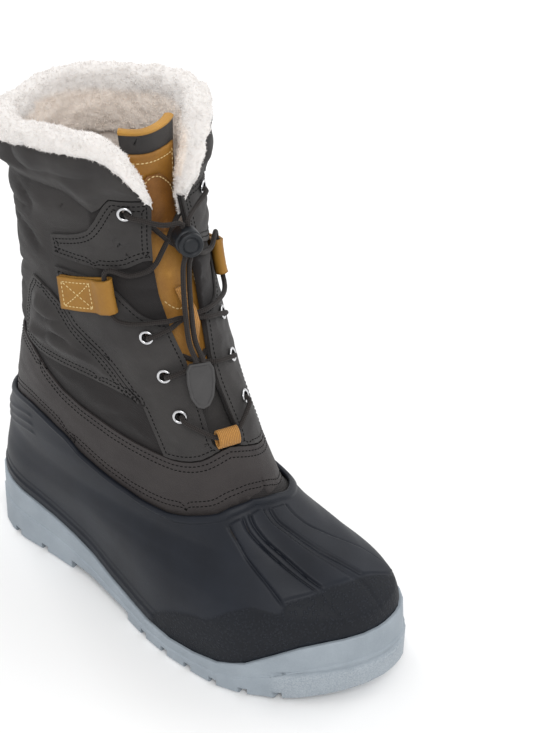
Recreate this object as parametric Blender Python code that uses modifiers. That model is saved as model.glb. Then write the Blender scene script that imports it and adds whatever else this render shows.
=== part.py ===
"""Snow boot for the right foot: a rubber lower, a padded cloth shaft and a fleece collar.

Metres, +Z up. The toe points along -Y and the outer side of the foot along -X.
The origin is the bottom centre of the boot's bounding box, and it stands on its sole.
An angle goes round the last: 0 at the toe, 90 at the outer side, 180 at the heel.
"""
import math
from functools import lru_cache
from types import SimpleNamespace

import bmesh
import bpy
from mathutils import Matrix, Vector

# Main sizes
SOLE_LENGTH = 0.305
BALL_WIDTH = 0.113
SHELL_HEIGHT = 0.107        # rim of the rubber lower above the instep
COLLAR_HEIGHT = 0.307       # edge of the shaft's cloth at the ankle's side
TOE_SPRING = 0.014

# Walls and clearances
FIT_GAP = 0.00035
SOLE_WALL = 0.0032
SHELL_WALL = 0.0025
UPPER_WALL = 0.0025
OVERLAY_WALL = 0.0013
CUFF_WALL = 0.0022
TONGUE_WALL = 0.0045
PANEL_WALL = 0.0012
INSOLE_WALL = 0.0045
TUCK = 0.012                # the shaft's cloth reaches this far into the rubber lower

# Sole
TREAD_DEPTH = 0.0055
CHANNEL_DEPTH = 0.004
ARCH_DEPTH = 0.0075
SOLE_EDGE = 0.0015
SOLE_COLUMNS = 23           # on each side
TOE_COLUMN = math.radians(5)
SOLE_STEP = 0.0008

# Rubber lower
BEAD_RISE = 0.0012
STRIP_RISE = 0.0009

# Lacing
EYELET_OUTER = 0.0088
EYELET_HOLE = 0.0048
EYELET_RISE = 0.0012
CORD = 0.003
LOCK_WIDTH = 0.016
LOCK_LENGTH = 0.012
LOCK_BUTTON = 0.0145
LOCK_TWIST = math.radians(70)   # the button faces out of the throat and to the outer side
BUTTON_THICK = 0.004
LOOP_WALL = 0.0016
TAB_LENGTH = 0.0275
TAB_WIDTH = 0.0165
TAB_WALL = 0.003

# Fleece
FLEECE_OUT = 0.0036
FLEECE_TOP = 0.0075
FLEECE_IN = 0.0078
FLEECE_DROP = 0.0045
FLEECE_LINING = 0.034
FLEECE_LUMP = 0.0011
FLEECE_OVERHANG = 0.0105    # how far it reaches beyond the sole on the inner side

THROAT_ANGLE = 16.0         # the throat's middle lies this far to the outer side
INNER_RISE = 0.007          # the collar stands this much higher on the inner side


class Table:
    """Rows of named columns, read as smooth curves over the first column."""

    def __init__(self, columns, rows):
        self.columns = columns.split()
        self.rows = rows
        self.slopes = [self.slope(column) for column in range(1, len(self.columns))]

    def slope(self, column):
        """Slopes of one column at its rows, level at each local top and bottom."""
        steps = [(b[column] - a[column]) / (b[0] - a[0]) for a, b in zip(self.rows, self.rows[1:])]
        inner = [2 * a * b / (a + b) if a * b > 0 else 0.0 for a, b in zip(steps, steps[1:])]
        return [steps[0], *inner, steps[-1]]

    @lru_cache(maxsize=20000)
    def at(self, key):
        """Every column's value at the key."""
        last = len(self.rows) - 2
        row = max(0, sum(key > entry[0] for entry in self.rows[1:-1]))
        row = min(row, last)
        low, high = self.rows[row], self.rows[row + 1]
        span = high[0] - low[0]
        t = min(max((key - low[0]) / span, 0.0), 1.0)
        values = {}
        for column, slopes in zip(range(1, len(self.columns)), self.slopes):
            values[self.columns[column]] = (
                (1 + 2 * t) * (1 - t) ** 2 * low[column] + t * t * (3 - 2 * t) * high[column]
                + span * t * (1 - t) * ((1 - t) * slopes[row] - t * slopes[row + 1]))
        return SimpleNamespace(**values)


# Level 0 is the floor, 1 the rim of the rubber lower and 2 the collar. Back, front and
# widest are shares of SOLE_LENGTH, and outer, inner and ridge shares of BALL_WIDTH. A ring
# with last 0 follows the plan of the sole, and one with last 1 is an egg of its own.
RINGS = Table("level back front outer inner widest power last ridge", (
    (0.000, 0.0117, 0.9883, 0.513, 0.416, 0.695, 2.6, 0.00, 0.000),
    (0.260, 0.0117, 0.9883, 0.513, 0.416, 0.695, 2.6, 0.00, 0.000),
    (0.420, 0.0130, 0.9830, 0.504, 0.407, 0.689, 2.6, 0.12, -0.009),
    (0.560, 0.0145, 0.9720, 0.478, 0.381, 0.656, 2.5, 0.45, 0.009),
    (0.670, 0.0160, 0.9080, 0.442, 0.354, 0.607, 2.3, 0.80, 0.035),
    (0.785, 0.0180, 0.8200, 0.416, 0.354, 0.525, 2.2, 1.00, 0.053),
    (0.915, 0.0270, 0.7440, 0.416, 0.372, 0.443, 2.2, 1.00, 0.062),
    (1.045, 0.0460, 0.6920, 0.407, 0.381, 0.387, 2.2, 1.00, 0.062),
    (1.190, 0.0720, 0.6430, 0.407, 0.398, 0.344, 2.2, 1.00, 0.062),
    (1.415, 0.0980, 0.5770, 0.398, 0.398, 0.311, 2.2, 1.00, 0.062),
    (1.640, 0.1050, 0.5250, 0.403, 0.407, 0.295, 2.2, 1.00, 0.053),
    (1.865, 0.0850, 0.4980, 0.425, 0.434, 0.289, 2.2, 1.00, 0.044),
    (2.120, 0.0560, 0.4880, 0.451, 0.460, 0.285, 2.2, 1.00, 0.044),
))

# Half widths of the rubber lower where it meets the sole, before its two ends are rounded.
PLAN = Table("share outer inner centre", (
    (0.00, 0.290, 0.300, 0.000),
    (0.18, 0.305, 0.320, 0.000),
    (0.30, 0.340, 0.292, 0.000),
    (0.42, 0.425, 0.265, 0.000),
    (0.60, 0.555, 0.332, 0.000),
    (0.72, 0.575, 0.363, -0.001),
    (0.86, 0.500, 0.385, -0.008),
    (1.00, 0.380, 0.340, -0.022),
))
HEEL_ROUND = 0.14
TOE_ROUND = 0.27
ROUND_POWER = 2.3

# The sole along its length: its side's top edge, and its floor above the tread, as shares
# of SHELL_HEIGHT. The spring is added to the floor.
SOLE_LINE = Table("share top floor", (
    (0.00, 0.420, 0.230),
    (0.15, 0.355, 0.225),
    (0.30, 0.250, 0.170),
    (0.45, 0.160, 0.105),
    (0.60, 0.130, 0.092),
    (0.75, 0.185, 0.092),
    (0.82, 0.300, 0.092),
    (0.90, 0.415, 0.100),
    (1.00, 0.475, 0.112),
))

# Lines on the upper by the angle from the throat's middle, as levels.
RIM = Table("turn level", (
    (0, 1.015), (17, 1.000), (30, 0.963), (46, 0.925), (57, 0.897), (68, 0.880), (78, 0.888),
    (84, 0.920), (92, 0.981), (101, 1.035), (120, 1.060), (160, 1.010), (180, 1.005),
))
RAND_TOP = Table("turn level", (
    (0, 1.168), (9, 1.160), (18, 1.143), (28, 1.125), (42, 1.113), (52, 1.120), (69, 1.140),
    (78, 1.160), (95, 1.205), (109, 1.255), (118, 1.285), (133, 1.295), (180, 1.305),
))
COLLAR = Table("turn level", (
    (0, 1.880), (15, 1.900), (21, 1.950), (29, 2.000), (38, 2.045), (55, 2.065), (90, 2.045),
    (112, 2.015), (150, 2.005), (180, 1.995),
))

# Half the throat's width in degrees, by the share of the shaft's own height.
THROAT = Table("share half", (
    (0.000, 0.0), (0.205, 0.0), (0.250, 13.0), (0.350, 11.5), (0.440, 10.5), (0.505, 11.5),
    (0.583, 15.0), (0.650, 19.0), (0.710, 19.0), (0.830, 18.5), (0.910, 16.0), (1.000, 13.5),
))

# Eyelets, bottom to top: the angle from the throat's middle, and the level.
EYELETS = ((28.5, 1.265), (30.5, 1.385), (35.0, 1.500), (34.0, 1.880))
SIDES = (("outer", 1), ("inner", -1))

COLOURS = {
    "cloth": ((0.060, 0.057, 0.058), 0.75, 0.0),
    "dark_cloth": ((0.028, 0.026, 0.026), 0.80, 0.0),
    "rand": ((0.070, 0.062, 0.061), 0.60, 0.0),
    "rubber": ((0.022, 0.026, 0.031), 0.50, 0.0),
    "sole": ((0.285, 0.320, 0.350), 0.60, 0.0),
    "fleece": ((0.800, 0.790, 0.780), 0.95, 0.0),
    "leather": ((0.340, 0.170, 0.030), 0.55, 0.0),
    "webbing": ((0.520, 0.260, 0.050), 0.70, 0.0),
    "steel": ((0.550, 0.550, 0.560), 0.25, 1.0),
    "lock": ((0.018, 0.022, 0.028), 0.40, 0.0),
    "cord": ((0.040, 0.034, 0.032), 0.80, 0.0),
    "foam": ((0.300, 0.290, 0.280), 0.90, 0.0),
}


def start_scene():
    """Empty the scene, and make the boot's collection and the one for cutters."""
    for thing in list(bpy.data.objects):
        bpy.data.objects.remove(thing, do_unlink=True)
    homes = []
    for name in ("snow_boot", "cutters"):
        home = bpy.data.collections.new(name)
        bpy.context.scene.collection.children.link(home)
        homes.append(home)
    return homes


def material(name):
    """The named Principled material, made at its first use."""
    if name in bpy.data.materials:
        return bpy.data.materials[name]
    colour, roughness, metallic = COLOURS[name]
    made = bpy.data.materials.new(name)
    made.use_nodes = True
    shader = made.node_tree.nodes["Principled BSDF"]
    shader.inputs["Base Color"].default_value = (*colour, 1.0)
    shader.inputs["Roughness"].default_value = roughness
    shader.inputs["Metallic"].default_value = metallic
    return made


def level_height(level):
    """Height of a level: up to 1 it follows the rubber lower, above that the shaft."""
    if level < 1:
        return level * SHELL_HEIGHT
    return SHELL_HEIGHT + (level - 1) * (COLLAR_HEIGHT - SHELL_HEIGHT)


def height_level(height):
    """The level at a height."""
    if height < SHELL_HEIGHT:
        return height / SHELL_HEIGHT
    return 1 + (height - SHELL_HEIGHT) / (COLLAR_HEIGHT - SHELL_HEIGHT)


def rounded(share):
    """0 to 1 along a quarter of a superellipse."""
    return (1 - (1 - min(max(share, 0.0), 1.0)) ** ROUND_POWER) ** (1 / ROUND_POWER)


def plan_side(share, outer):
    """Distance of the plan's edge from the middle line, in BALL_WIDTH, + to the outer side."""
    row = PLAN.at(round(share, 5))
    ends = rounded(share / HEEL_ROUND) * rounded((1 - share) / TOE_ROUND)
    return row.centre + (row.outer if outer else -row.inner) * ends


def flat_form(angle, height):
    """Distance to the outer side and distance from the heel's back of the form's ring."""
    ring = RINGS.at(round(height_level(height), 5))
    cosine, sine = math.cos(angle), math.sin(angle)
    end = ring.front if cosine > 0 else ring.back
    station = ring.widest + (end - ring.widest) * abs(cosine) ** (2 / ring.power)
    half = ring.outer if sine > 0 else ring.inner
    egg = math.copysign(half * abs(sine) ** (2 / ring.power), sine)
    egg += ring.ridge * max(cosine, 0.0) ** 2
    side = plan_side((station - ring.back) / (ring.front - ring.back), sine > 0)
    across = side + (egg - side) * ring.last
    return across * BALL_WIDTH, station * SOLE_LENGTH


def middle_shift():
    """How far the middle of the boot's width lies to the outer side."""
    reach = [flat_form(math.radians(angle), 0.0)[0] for angle in range(-180, 180)]
    return (max(reach) + min(reach) - FLEECE_OVERHANG) / 2


MIDDLE = middle_shift()


def form(angle, height):
    """A point on the outer face of the rubber lower, or on the shaft's line above it."""
    across, station = flat_form(angle, height)
    return Vector((MIDDLE - across, SOLE_LENGTH / 2 - station, height))


def outward(angle, height, level=False):
    """The form's normal, or its level part."""
    turn, rise = 0.004, 0.0005
    along = form(angle + turn, height) - form(angle - turn, height)
    upward = form(angle, height + rise) - form(angle, height - rise)
    normal = upward.cross(along)
    if level:
        normal.z = 0.0
    return normal.normalized()


def skin(angle, height, offset):
    """A point at a distance outside the form, or inside it where the distance is negative."""
    return form(angle, height) + outward(angle, height) * offset


def beside(angle, height, offset):
    """The same, moved level with the floor."""
    return form(angle, height) + outward(angle, height, level=True) * offset


def turn_from_throat(angle):
    """Degrees from the throat's middle to an angle, the same on both sides."""
    degrees = math.degrees(angle)
    degrees = (degrees + 180) % 360 - 180
    return abs(degrees - THROAT_ANGLE * (1 - abs(degrees) / 180))


def angle_at(turn, side):
    """The angle at some degrees from the throat's middle, side 1 outer or -1 inner."""
    lean = THROAT_ANGLE / 180
    if side > 0:
        return math.radians((turn + THROAT_ANGLE) / (1 + lean))
    degrees = (turn - THROAT_ANGLE) / (1 - lean)
    if degrees < 0:
        degrees = (turn - THROAT_ANGLE) / (1 + lean)
    return -math.radians(degrees)


def line_height(table, angle):
    """Height of a line on the upper at an angle."""
    return level_height(table.at(round(turn_from_throat(angle), 4)).level)


def collar_height(angle):
    """Height of the shaft's top edge at an angle."""
    return line_height(COLLAR, angle) + INNER_RISE * max(0.0, -math.sin(angle))


def spring(station):
    """How far the sole rises from the floor towards the toe, by distance from the heel."""
    start = 0.74 * SOLE_LENGTH
    return TOE_SPRING * max(0.0, (station - start) / (SOLE_LENGTH - start)) ** 2


def spread(start, end, count):
    """Evenly spaced values, both ends included."""
    return [start + (end - start) * step / (count - 1) for step in range(count)]


def finish(mesh, name, coat, home, sharp=35):
    """Turn a bmesh into a named object with one material."""
    data = bpy.data.meshes.new(name)
    mesh.to_mesh(data)
    mesh.free()
    data.materials.append(material(coat))
    data.shade_smooth()
    data.set_sharp_from_angle(angle=math.radians(sharp))
    thing = bpy.data.objects.new(name, data)
    home.objects.link(thing)
    return thing


def slab(columns, rows, place, faces, closed=False):
    """A wall between two grids of points: place(column, row, offset) at the two faces' offsets."""
    mesh = bmesh.new()
    across, up = len(columns) - 1, len(rows) - 1
    bmesh.ops.create_grid(mesh, x_segments=across, y_segments=up, size=1)
    spots = {}
    for vert in mesh.verts:
        spots[vert] = (columns[round((vert.co.x + 1) / 2 * across)],
                       rows[round((vert.co.y + 1) / 2 * up)])
        vert.co = place(*spots[vert], faces[0])
    if closed:
        bmesh.ops.remove_doubles(mesh, verts=mesh.verts, dist=1e-6)
    bmesh.ops.reverse_faces(mesh, faces=mesh.faces)
    bmesh.ops.triangulate(mesh, faces=mesh.faces, quad_method="FIXED")
    front, rims = list(mesh.faces), [edge for edge in mesh.edges if edge.is_boundary]
    behind = {vert: mesh.verts.new(place(*spots[vert], faces[1])) for vert in list(mesh.verts)}
    for face in front:
        mesh.faces.new([behind[vert] for vert in reversed(face.verts)])
    for edge in rims:
        start, end = (edge.verts if edge.link_loops[0].vert == edge.verts[0]
                      else reversed(edge.verts))
        mesh.faces.new((end, start, behind[start], behind[end]))
    return mesh


def lofted(rings, cap):
    """A closed mesh through rings of points; cap joins the first and the last ring to itself."""
    mesh = bmesh.new()
    verts = [[mesh.verts.new(point) for point in ring] for ring in rings]
    count = len(verts[0])
    for low, high in zip(verts, verts[1:]):
        for here in range(count):
            after = (here + 1) % count
            mesh.faces.new((low[here], low[after], high[after], high[here]))
    cap(mesh, verts[0])
    cap(mesh, verts[-1])
    bmesh.ops.recalc_face_normals(mesh, faces=mesh.faces)
    return mesh


def ladder_cap(mesh, ring):
    """Close a ring whose points lie in pairs, left and right, at the same station."""
    count = len(ring)
    half = count // 2
    for step in range(half):
        corners = [ring[step], ring[step + 1], ring[(count - step - 1) % count],
                   ring[(count - step) % count]]
        kept = list(dict.fromkeys(corners))
        mesh.faces.new(kept)


def fan_cap(mesh, ring):
    """Close a small ring with one face."""
    mesh.faces.new(ring)


def cut(thing, cutter, operation="DIFFERENCE"):
    """Cut or join one object with another, which stays as a guide."""
    cutter.hide_render = True
    cutter.display_type = "WIRE"
    boolean = thing.modifiers.new("cut", "BOOLEAN")
    boolean.object = cutter
    boolean.operation = operation
    boolean.solver = "EXACT"


def sole_heights(angle):
    """Heights of the sole's floor and of its side's top edge at an angle."""
    station = flat_form(angle, 0.0)[1]
    line = SOLE_LINE.at(round(station / SOLE_LENGTH, 5))
    return line.floor * SHELL_HEIGHT + spring(station), line.top * SHELL_HEIGHT


def sole_ring(angles, edge):
    """Points round the sole for one row of its section."""
    points = []
    for angle in angles:
        floor, top = sole_heights(angle)
        low = spring(flat_form(angle, 0.0)[1])
        height = {"low": low, "step": low + 0.55 * (top - low), "top": top, "floor": floor,
                  "seat": (top + floor) / 2}[edge[0]]
        point = beside(angle, height + edge[1], FIT_GAP + edge[2])
        points.append(point)
    return points


def sole_angles():
    """Angles round the sole, closer together at the toe and the heel, in left and right pairs."""
    ring = RINGS.at(0.0)
    angles = [0.0, TOE_COLUMN]
    for step in range(1, SOLE_COLUMNS + 1):
        share = (1 + math.cos(math.pi * step / SOLE_COLUMNS)) / 2
        station = ring.back + (ring.front - ring.back) * share
        end = ring.front if station > ring.widest else ring.back
        reach = abs((station - ring.widest) / (end - ring.widest))
        angle = math.acos(min(1.0, reach ** (ring.power / 2)))
        angles.append(angle if station > ring.widest else math.pi - angle)
    return angles + [-angle for angle in angles[-2:0:-1]]


def outsole(home, cutters):
    """The sole as a cup: tread below, a stepped side wall, and a floor for the insole."""
    angles = sole_angles()
    edges = (
        ("low", 0.0, SOLE_WALL - SOLE_EDGE),
        ("low", SOLE_EDGE, SOLE_WALL),
        ("step", 0.0, SOLE_WALL),
        ("step", SOLE_STEP, SOLE_WALL - SOLE_STEP),
        ("top", -SOLE_EDGE / 2, SOLE_WALL - SOLE_STEP),
        ("top", 0.0, SOLE_WALL - 2 * SOLE_STEP),
        ("top", 0.0, 0.0),
        ("seat", 0.0, 0.0),
        ("floor", 0.0, 0.0),
    )
    mesh = lofted([sole_ring(angles, edge) for edge in edges], ladder_cap)
    sole = finish(mesh, "outsole", "sole", home)
    cut(sole, tread_gaps("tread_arch", ARCH_DEPTH, cutters))
    cut(sole, tread_gaps("tread_cross", TREAD_DEPTH, cutters))
    cut(sole, tread_gaps("tread_along", CHANNEL_DEPTH, cutters))


# Gaps in the tread: middle along the sole and length as shares of SOLE_LENGTH, width and
# place across it as shares of BALL_WIDTH.
TREAD_BARS = {
    "tread_arch": ((0.370, 0.200, 2.0, 0.0),),
    "tread_cross": tuple((share, 0.019, 2.0, 0.0)
                         for share in (0.100, 0.185, 0.525, 0.590, 0.655, 0.720, 0.785, 0.850)),
    "tread_along": ((0.140, 0.300, 0.055, 0.0), (0.622, 0.340, 0.055, 0.16), (0.622, 0.340, 0.055, -0.16)),
}


def tread_gaps(name, depth, home):
    """One cutter for gaps in the tread, each a box that follows the sole's spring."""
    gaps = bmesh.new()
    for share, long, across, aside in TREAD_BARS[name]:
        station = share * SOLE_LENGTH
        slope = (spring(station + 0.001) - spring(station - 0.001)) / 0.002
        place = (Matrix.Translation((aside * BALL_WIDTH, SOLE_LENGTH / 2 - station, spring(station)))
                 @ Matrix.Rotation(-math.atan(slope), 4, "X"))
        size = (across * BALL_WIDTH, long * SOLE_LENGTH, 2 * depth)
        bmesh.ops.create_cube(gaps, size=1, matrix=place @ Matrix.Diagonal((*size, 1)))
    return finish(gaps, name, "sole", home)


def shell_relief(angle, row):
    """Rise of the rubber lower's relief: the rim's bead and the strips over the vamp."""
    degrees = (math.degrees(angle) + 180) % 360 - 180
    if row >= SHELL_ROWS[-2]:
        return BEAD_RISE
    if not STRIP_ROWS[0] < row < STRIP_ROWS[1]:
        return 0.0
    if not STRIP_BAND[0] < degrees < STRIP_BAND[1]:
        return 0.0
    return 0.0 if min(abs(degrees - groove) for groove in GROOVES) < GROOVE_HALF else STRIP_RISE


# Rows of the rubber lower: 0 is the sole's floor, 1 the top of the sole's side and 2 the rim.
# The raised strips over the vamp lie between two rows and two angles, parted by grooves.
SHELL_ROWS = (0.0, 0.5, 1.0, 1.2, 1.38, 1.44, 1.6, 1.80, 1.85, 1.92, 1.95, 2.0)
STRIP_ROWS = (1.4, 1.82)
STRIP_BAND = (-43, 50)
GROOVES = (-20, 3, 28)
GROOVE_HALF = 3.2


def rubber_shell(home):
    """The rubber lower: a wall from the sole's floor up to its beaded rim."""
    def place(angle, row, offset):
        floor, top = sole_heights(angle)
        floor += FIT_GAP
        if row <= 1:
            return beside(angle, floor + (top - floor) * row, offset)
        height = top + (line_height(RIM, angle) - top) * (row - 1)
        relief = shell_relief(angle, row) if offset == 0 else 0.0
        return skin(angle, height, offset + relief)

    mesh = slab(sorted(sole_angles() + [-math.pi]), SHELL_ROWS, place, (0.0, -SHELL_WALL), closed=True)
    finish(mesh, "rubber_shell", "rubber", home)


UPPER_FACE = -(SHELL_WALL + FIT_GAP)
OVERLAY_SEAT = UPPER_FACE + FIT_GAP
OVERLAY_FACE = OVERLAY_SEAT + OVERLAY_WALL
LINING_FACE = UPPER_FACE - UPPER_WALL

# The shaft's rows as shares of its own height, closest where the throat ends, and how far
# the cloth tucked into the rubber lower is eased inwards there.
UPPER_ROWS = (0.0, 0.05, 0.10, 0.17, 0.25, 0.262, 0.33, 0.42, 0.51, 0.60, 0.69, 0.79, 0.89, 1.0)
UPPER_COLUMNS = 35
TUCK_EASE = 0.0008


def shaft_mesh(outer, inner, throat=True):
    """A wall of the shaft's form; its two throat edges meet below the throat, or all the way up."""
    def place(column, row, offset):
        half = THROAT.at(row).half if throat else 0.0
        around = half + (360 - 2 * half) * column
        angle = angle_at(around, 1) if around <= 180 else angle_at(360 - around, -1)
        low = line_height(RIM, angle) - TUCK
        height = low + (collar_height(angle) - low) * row
        return skin(angle, height, offset - TUCK_EASE * max(0.0, 1 - row / UPPER_ROWS[3]))

    return slab(spread(0, 1, UPPER_COLUMNS), UPPER_ROWS, place, (outer, inner), closed=True)


def upper(home, holes):
    """The shaft: one wall of padded cloth, open at the collar, the throat and underneath."""
    thing = finish(shaft_mesh(UPPER_FACE, LINING_FACE), "upper", "cloth", home)
    cut(thing, holes)
    return thing


def region(name, turns, low, high, side, home):
    """A thick cutter over the shaft between two lines of levels, on one side or all round."""
    def place(turn, row, offset):
        angle = angle_at(abs(turn), side if turn >= 0 else -side)
        level = low.at(abs(turn)).level * (1 - row) + high.at(abs(turn)).level * row
        return skin(angle, level_height(level), offset)

    faces = (OVERLAY_SEAT + CUFF_WALL + REGION_SPARE, OVERLAY_SEAT - REGION_SPARE)
    mesh = slab(turns if side > 0 else turns[::-1], spread(0, 1, 5), place, faces,
                closed=turns[0] == -turns[-1])
    return finish(mesh, name, "cloth", home)


def overlay(name, cutter, coat, home, holes=None, thickness=OVERLAY_WALL, throat=True):
    """A piece over the shaft, cut from a larger form that follows the shaft's own surface."""
    thing = finish(shaft_mesh(OVERLAY_SEAT + thickness, OVERLAY_SEAT, throat), name, coat, home)
    cut(thing, cutter, "INTERSECT")
    if holes:
        cut(thing, holes)
    return thing


def raised(table, shift):
    """The same line moved up by a number of levels."""
    return Table("turn level", [(turn, level + shift) for turn, level in table.rows])


SEAM = 0.0065               # gap between neighbouring overlays, in levels
REGION_SPARE = 0.0015       # a cutter reaches this far past the overlay on both faces
QUARTER_TURNS = [52, 56, 62, 68, 74, 80, 86, 93, 102, 111, 120, 129]
EYESTAY_TURNS = [2, 8, 14, 20, 26, 32, 38, 44, 48, 50.5, 56, 62, 68, 74, 80, 86]
HALF_ROUND = [0, *EYESTAY_TURNS, *spread(95, 180, 11)]
ALL_ROUND = [-turn for turn in HALF_ROUND[:0:-1]] + HALF_ROUND
QUARTER_LOW = Table("turn level", (
    (52, 1.270), (56, 1.285), (80, 1.300), (111, 1.295), (130, 1.310)))
QUARTER_HIGH = Table("turn level", (
    (50.5, 1.280), (56, 1.310), (65, 1.385), (80, 1.455), (88, 1.530), (111, 1.560), (130, 1.400)))
EYESTAY_LOW = Table("turn level", (
    (0, 1.172), (9, 1.164), (18, 1.147), (28, 1.129), (42, 1.117), (48, 1.119),
    *((turn, QUARTER_HIGH.at(turn).level + SEAM) for turn in EYESTAY_TURNS[9:])))
EYESTAY_HIGH = Table("turn level", (
    (0, 1.550), (26, 1.550), (34, 1.560), (50, 1.625), (56, 1.640), (70, 1.645), (86, 1.640)))
FLAP_LOW = Table("turn level", ((0, 1.735), (23, 1.735), (40, 1.705), (54, 1.690), (86, 1.680)))
FLAP_HIGH = Table("turn level", ((0, 1.914), (44, 1.914), (50.5, 1.880), (62, 1.800), (86, 1.745)))
CUFF_LOW = Table("turn level", (
    (0, 1.921), (44, 1.921), (50.5, 1.887), (56, 1.870), (62, 1.885), (74, 1.915), (104, 1.905),
    (140, 1.890), (180, 1.885)))
CUFF_HIGH = Table("turn level", ((0, 2.200), (180, 2.200)))


def overlays(home, cutters, holes):
    """The rand, the quarters, the eyestays, the flaps and the cuff."""
    rim = raised(RIM, 4 * FIT_GAP / SHELL_HEIGHT)
    overlay("rand", region("rand_region", ALL_ROUND, rim, RAND_TOP, 1, cutters), "rand", home,
            throat=False)
    overlay("cuff", region("cuff_region", ALL_ROUND, CUFF_LOW, CUFF_HIGH, 1, cutters), "cloth",
            home, thickness=CUFF_WALL)
    for word, side in SIDES:
        areas = (("quarter", QUARTER_TURNS, QUARTER_LOW, QUARTER_HIGH, None),
                 ("eyestay", EYESTAY_TURNS, EYESTAY_LOW, EYESTAY_HIGH, holes),
                 ("flap", EYESTAY_TURNS, FLAP_LOW, FLAP_HIGH, holes))
        for name, turns, low, high, bores in areas:
            cutter = region(f"{name}_region_{word}", turns, low, high, side, cutters)
            overlay(f"{name}_{word}", cutter, "cloth", home, bores)


def frame_at(turn, level, offset):
    """Matrix at a point of the shaft: X along the shaft's girth, Y outwards, Z upwards."""
    angle = angle_at(abs(turn), 1 if turn >= 0 else -1)
    height = level_height(level)
    out = outward(angle, height)
    girth = out.cross(Vector((0, 0, 1))).normalized()
    matrix = Matrix((girth, out, girth.cross(out))).transposed().to_4x4()
    matrix.translation = skin(angle, height, offset)
    return matrix


def eyelet_holes(home):
    """One cutter with a cylinder through the shaft at every eyelet."""
    mesh = bmesh.new()
    for turn, level in EYELETS:
        for _word, side in SIDES:
            place = frame_at(side * turn, level, LINING_FACE / 2) @ Matrix.Rotation(math.pi / 2, 4, "X")
            bmesh.ops.create_cone(mesh, cap_ends=True, segments=8, depth=0.016, matrix=place,
                                  radius1=EYELET_HOLE / 2 + FIT_GAP, radius2=EYELET_HOLE / 2 + FIT_GAP)
    return finish(mesh, "eyelet_holes", "steel", home)


SHAFT_RADIUS = 0.03         # tightest bend of the shaft under a flat piece


def eyelets(home):
    """A steel ring at each hole, standing on the eyestay or the flap."""
    minor = (EYELET_OUTER - EYELET_HOLE) / 4
    for row, (turn, level) in enumerate(EYELETS, 1):
        for word, side in SIDES:
            bpy.ops.mesh.primitive_torus_add(
                major_radius=EYELET_HOLE / 2 + minor, minor_radius=minor, major_segments=12,
                minor_segments=4)
            ring = bpy.context.object
            ring.name = ring.data.name = f"eyelet_{word}_{row}"
            flat = Matrix.Diagonal((1, 1, EYELET_RISE / (2 * minor), 1))
            ring.data.transform(Matrix.Rotation(math.pi / 2, 4, "X") @ flat)
            ring.matrix_world = frame_at(side * turn, level, OVERLAY_FACE + FIT_GAP + EYELET_RISE / 2
                                         + EYELET_OUTER ** 2 / 8 / SHAFT_RADIUS)
            ring.data.materials.append(material("steel"))
            ring.data.shade_smooth()
            for other in list(ring.users_collection):
                other.objects.unlink(ring)
            home.objects.link(ring)


# The tongue: how deep its face lies under the form, and half its width, by level.
TONGUE = Table("level face half", (
    (1.060, -0.0080, 20.0), (1.300, -0.0080, 24.0), (1.600, -0.0085, 30.0), (1.720, -0.0135, 32.0),
    (1.800, -0.0168, 34.0), (2.080, -0.0175, 38.0),
))
TONGUE_LEVELS = (1.06, 1.14, 1.22, 1.30, 1.38, 1.46, 1.54, 1.62, 1.70, 1.78, 1.86, 1.94, 2.02, 2.08)
PANEL_LEVELS = TONGUE_LEVELS[4:13]
PANEL_WIDTH = 0.82          # share of the tongue's own width


def tongue_slab(levels, width, columns, outer, inner):
    """A wall over the tongue: width is a share of the tongue's own, offsets are from its face."""
    def place(column, level, offset):
        row = TONGUE.at(level)
        turn = column * width * row.half
        angle = angle_at(abs(turn), 1 if turn >= 0 else -1)
        return skin(angle, level_height(level), row.face + offset)

    return slab(spread(-1, 1, columns), levels, place, (outer, inner))


def tongue(home):
    """The padded tongue, its leather panel and a plain round-topped patch."""
    mesh = tongue_slab(TONGUE_LEVELS, 1.0, 11, 0.0, -TONGUE_WALL)
    finish(mesh, "tongue", "cloth", home)
    mesh = tongue_slab(PANEL_LEVELS, PANEL_WIDTH, 9, FIT_GAP + PANEL_WALL, FIT_GAP)
    finish(mesh, "tongue_panel", "leather", home)


def insole(home):
    """The insole on the sole's floor."""
    angles = sole_angles()
    rings = []
    for rise, inset in ((FIT_GAP, 0.001), (FIT_GAP + 0.001, 0.0), (FIT_GAP + INSOLE_WALL - 0.001, 0.0),
                        (FIT_GAP + INSOLE_WALL, 0.001)):
        rings.append([beside(angle, sole_heights(angle)[0] + rise, -(SHELL_WALL + 2 * FIT_GAP + inset))
                      for angle in angles])
    finish(lofted(rings, ladder_cap), "insole", "foam", home)


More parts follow.
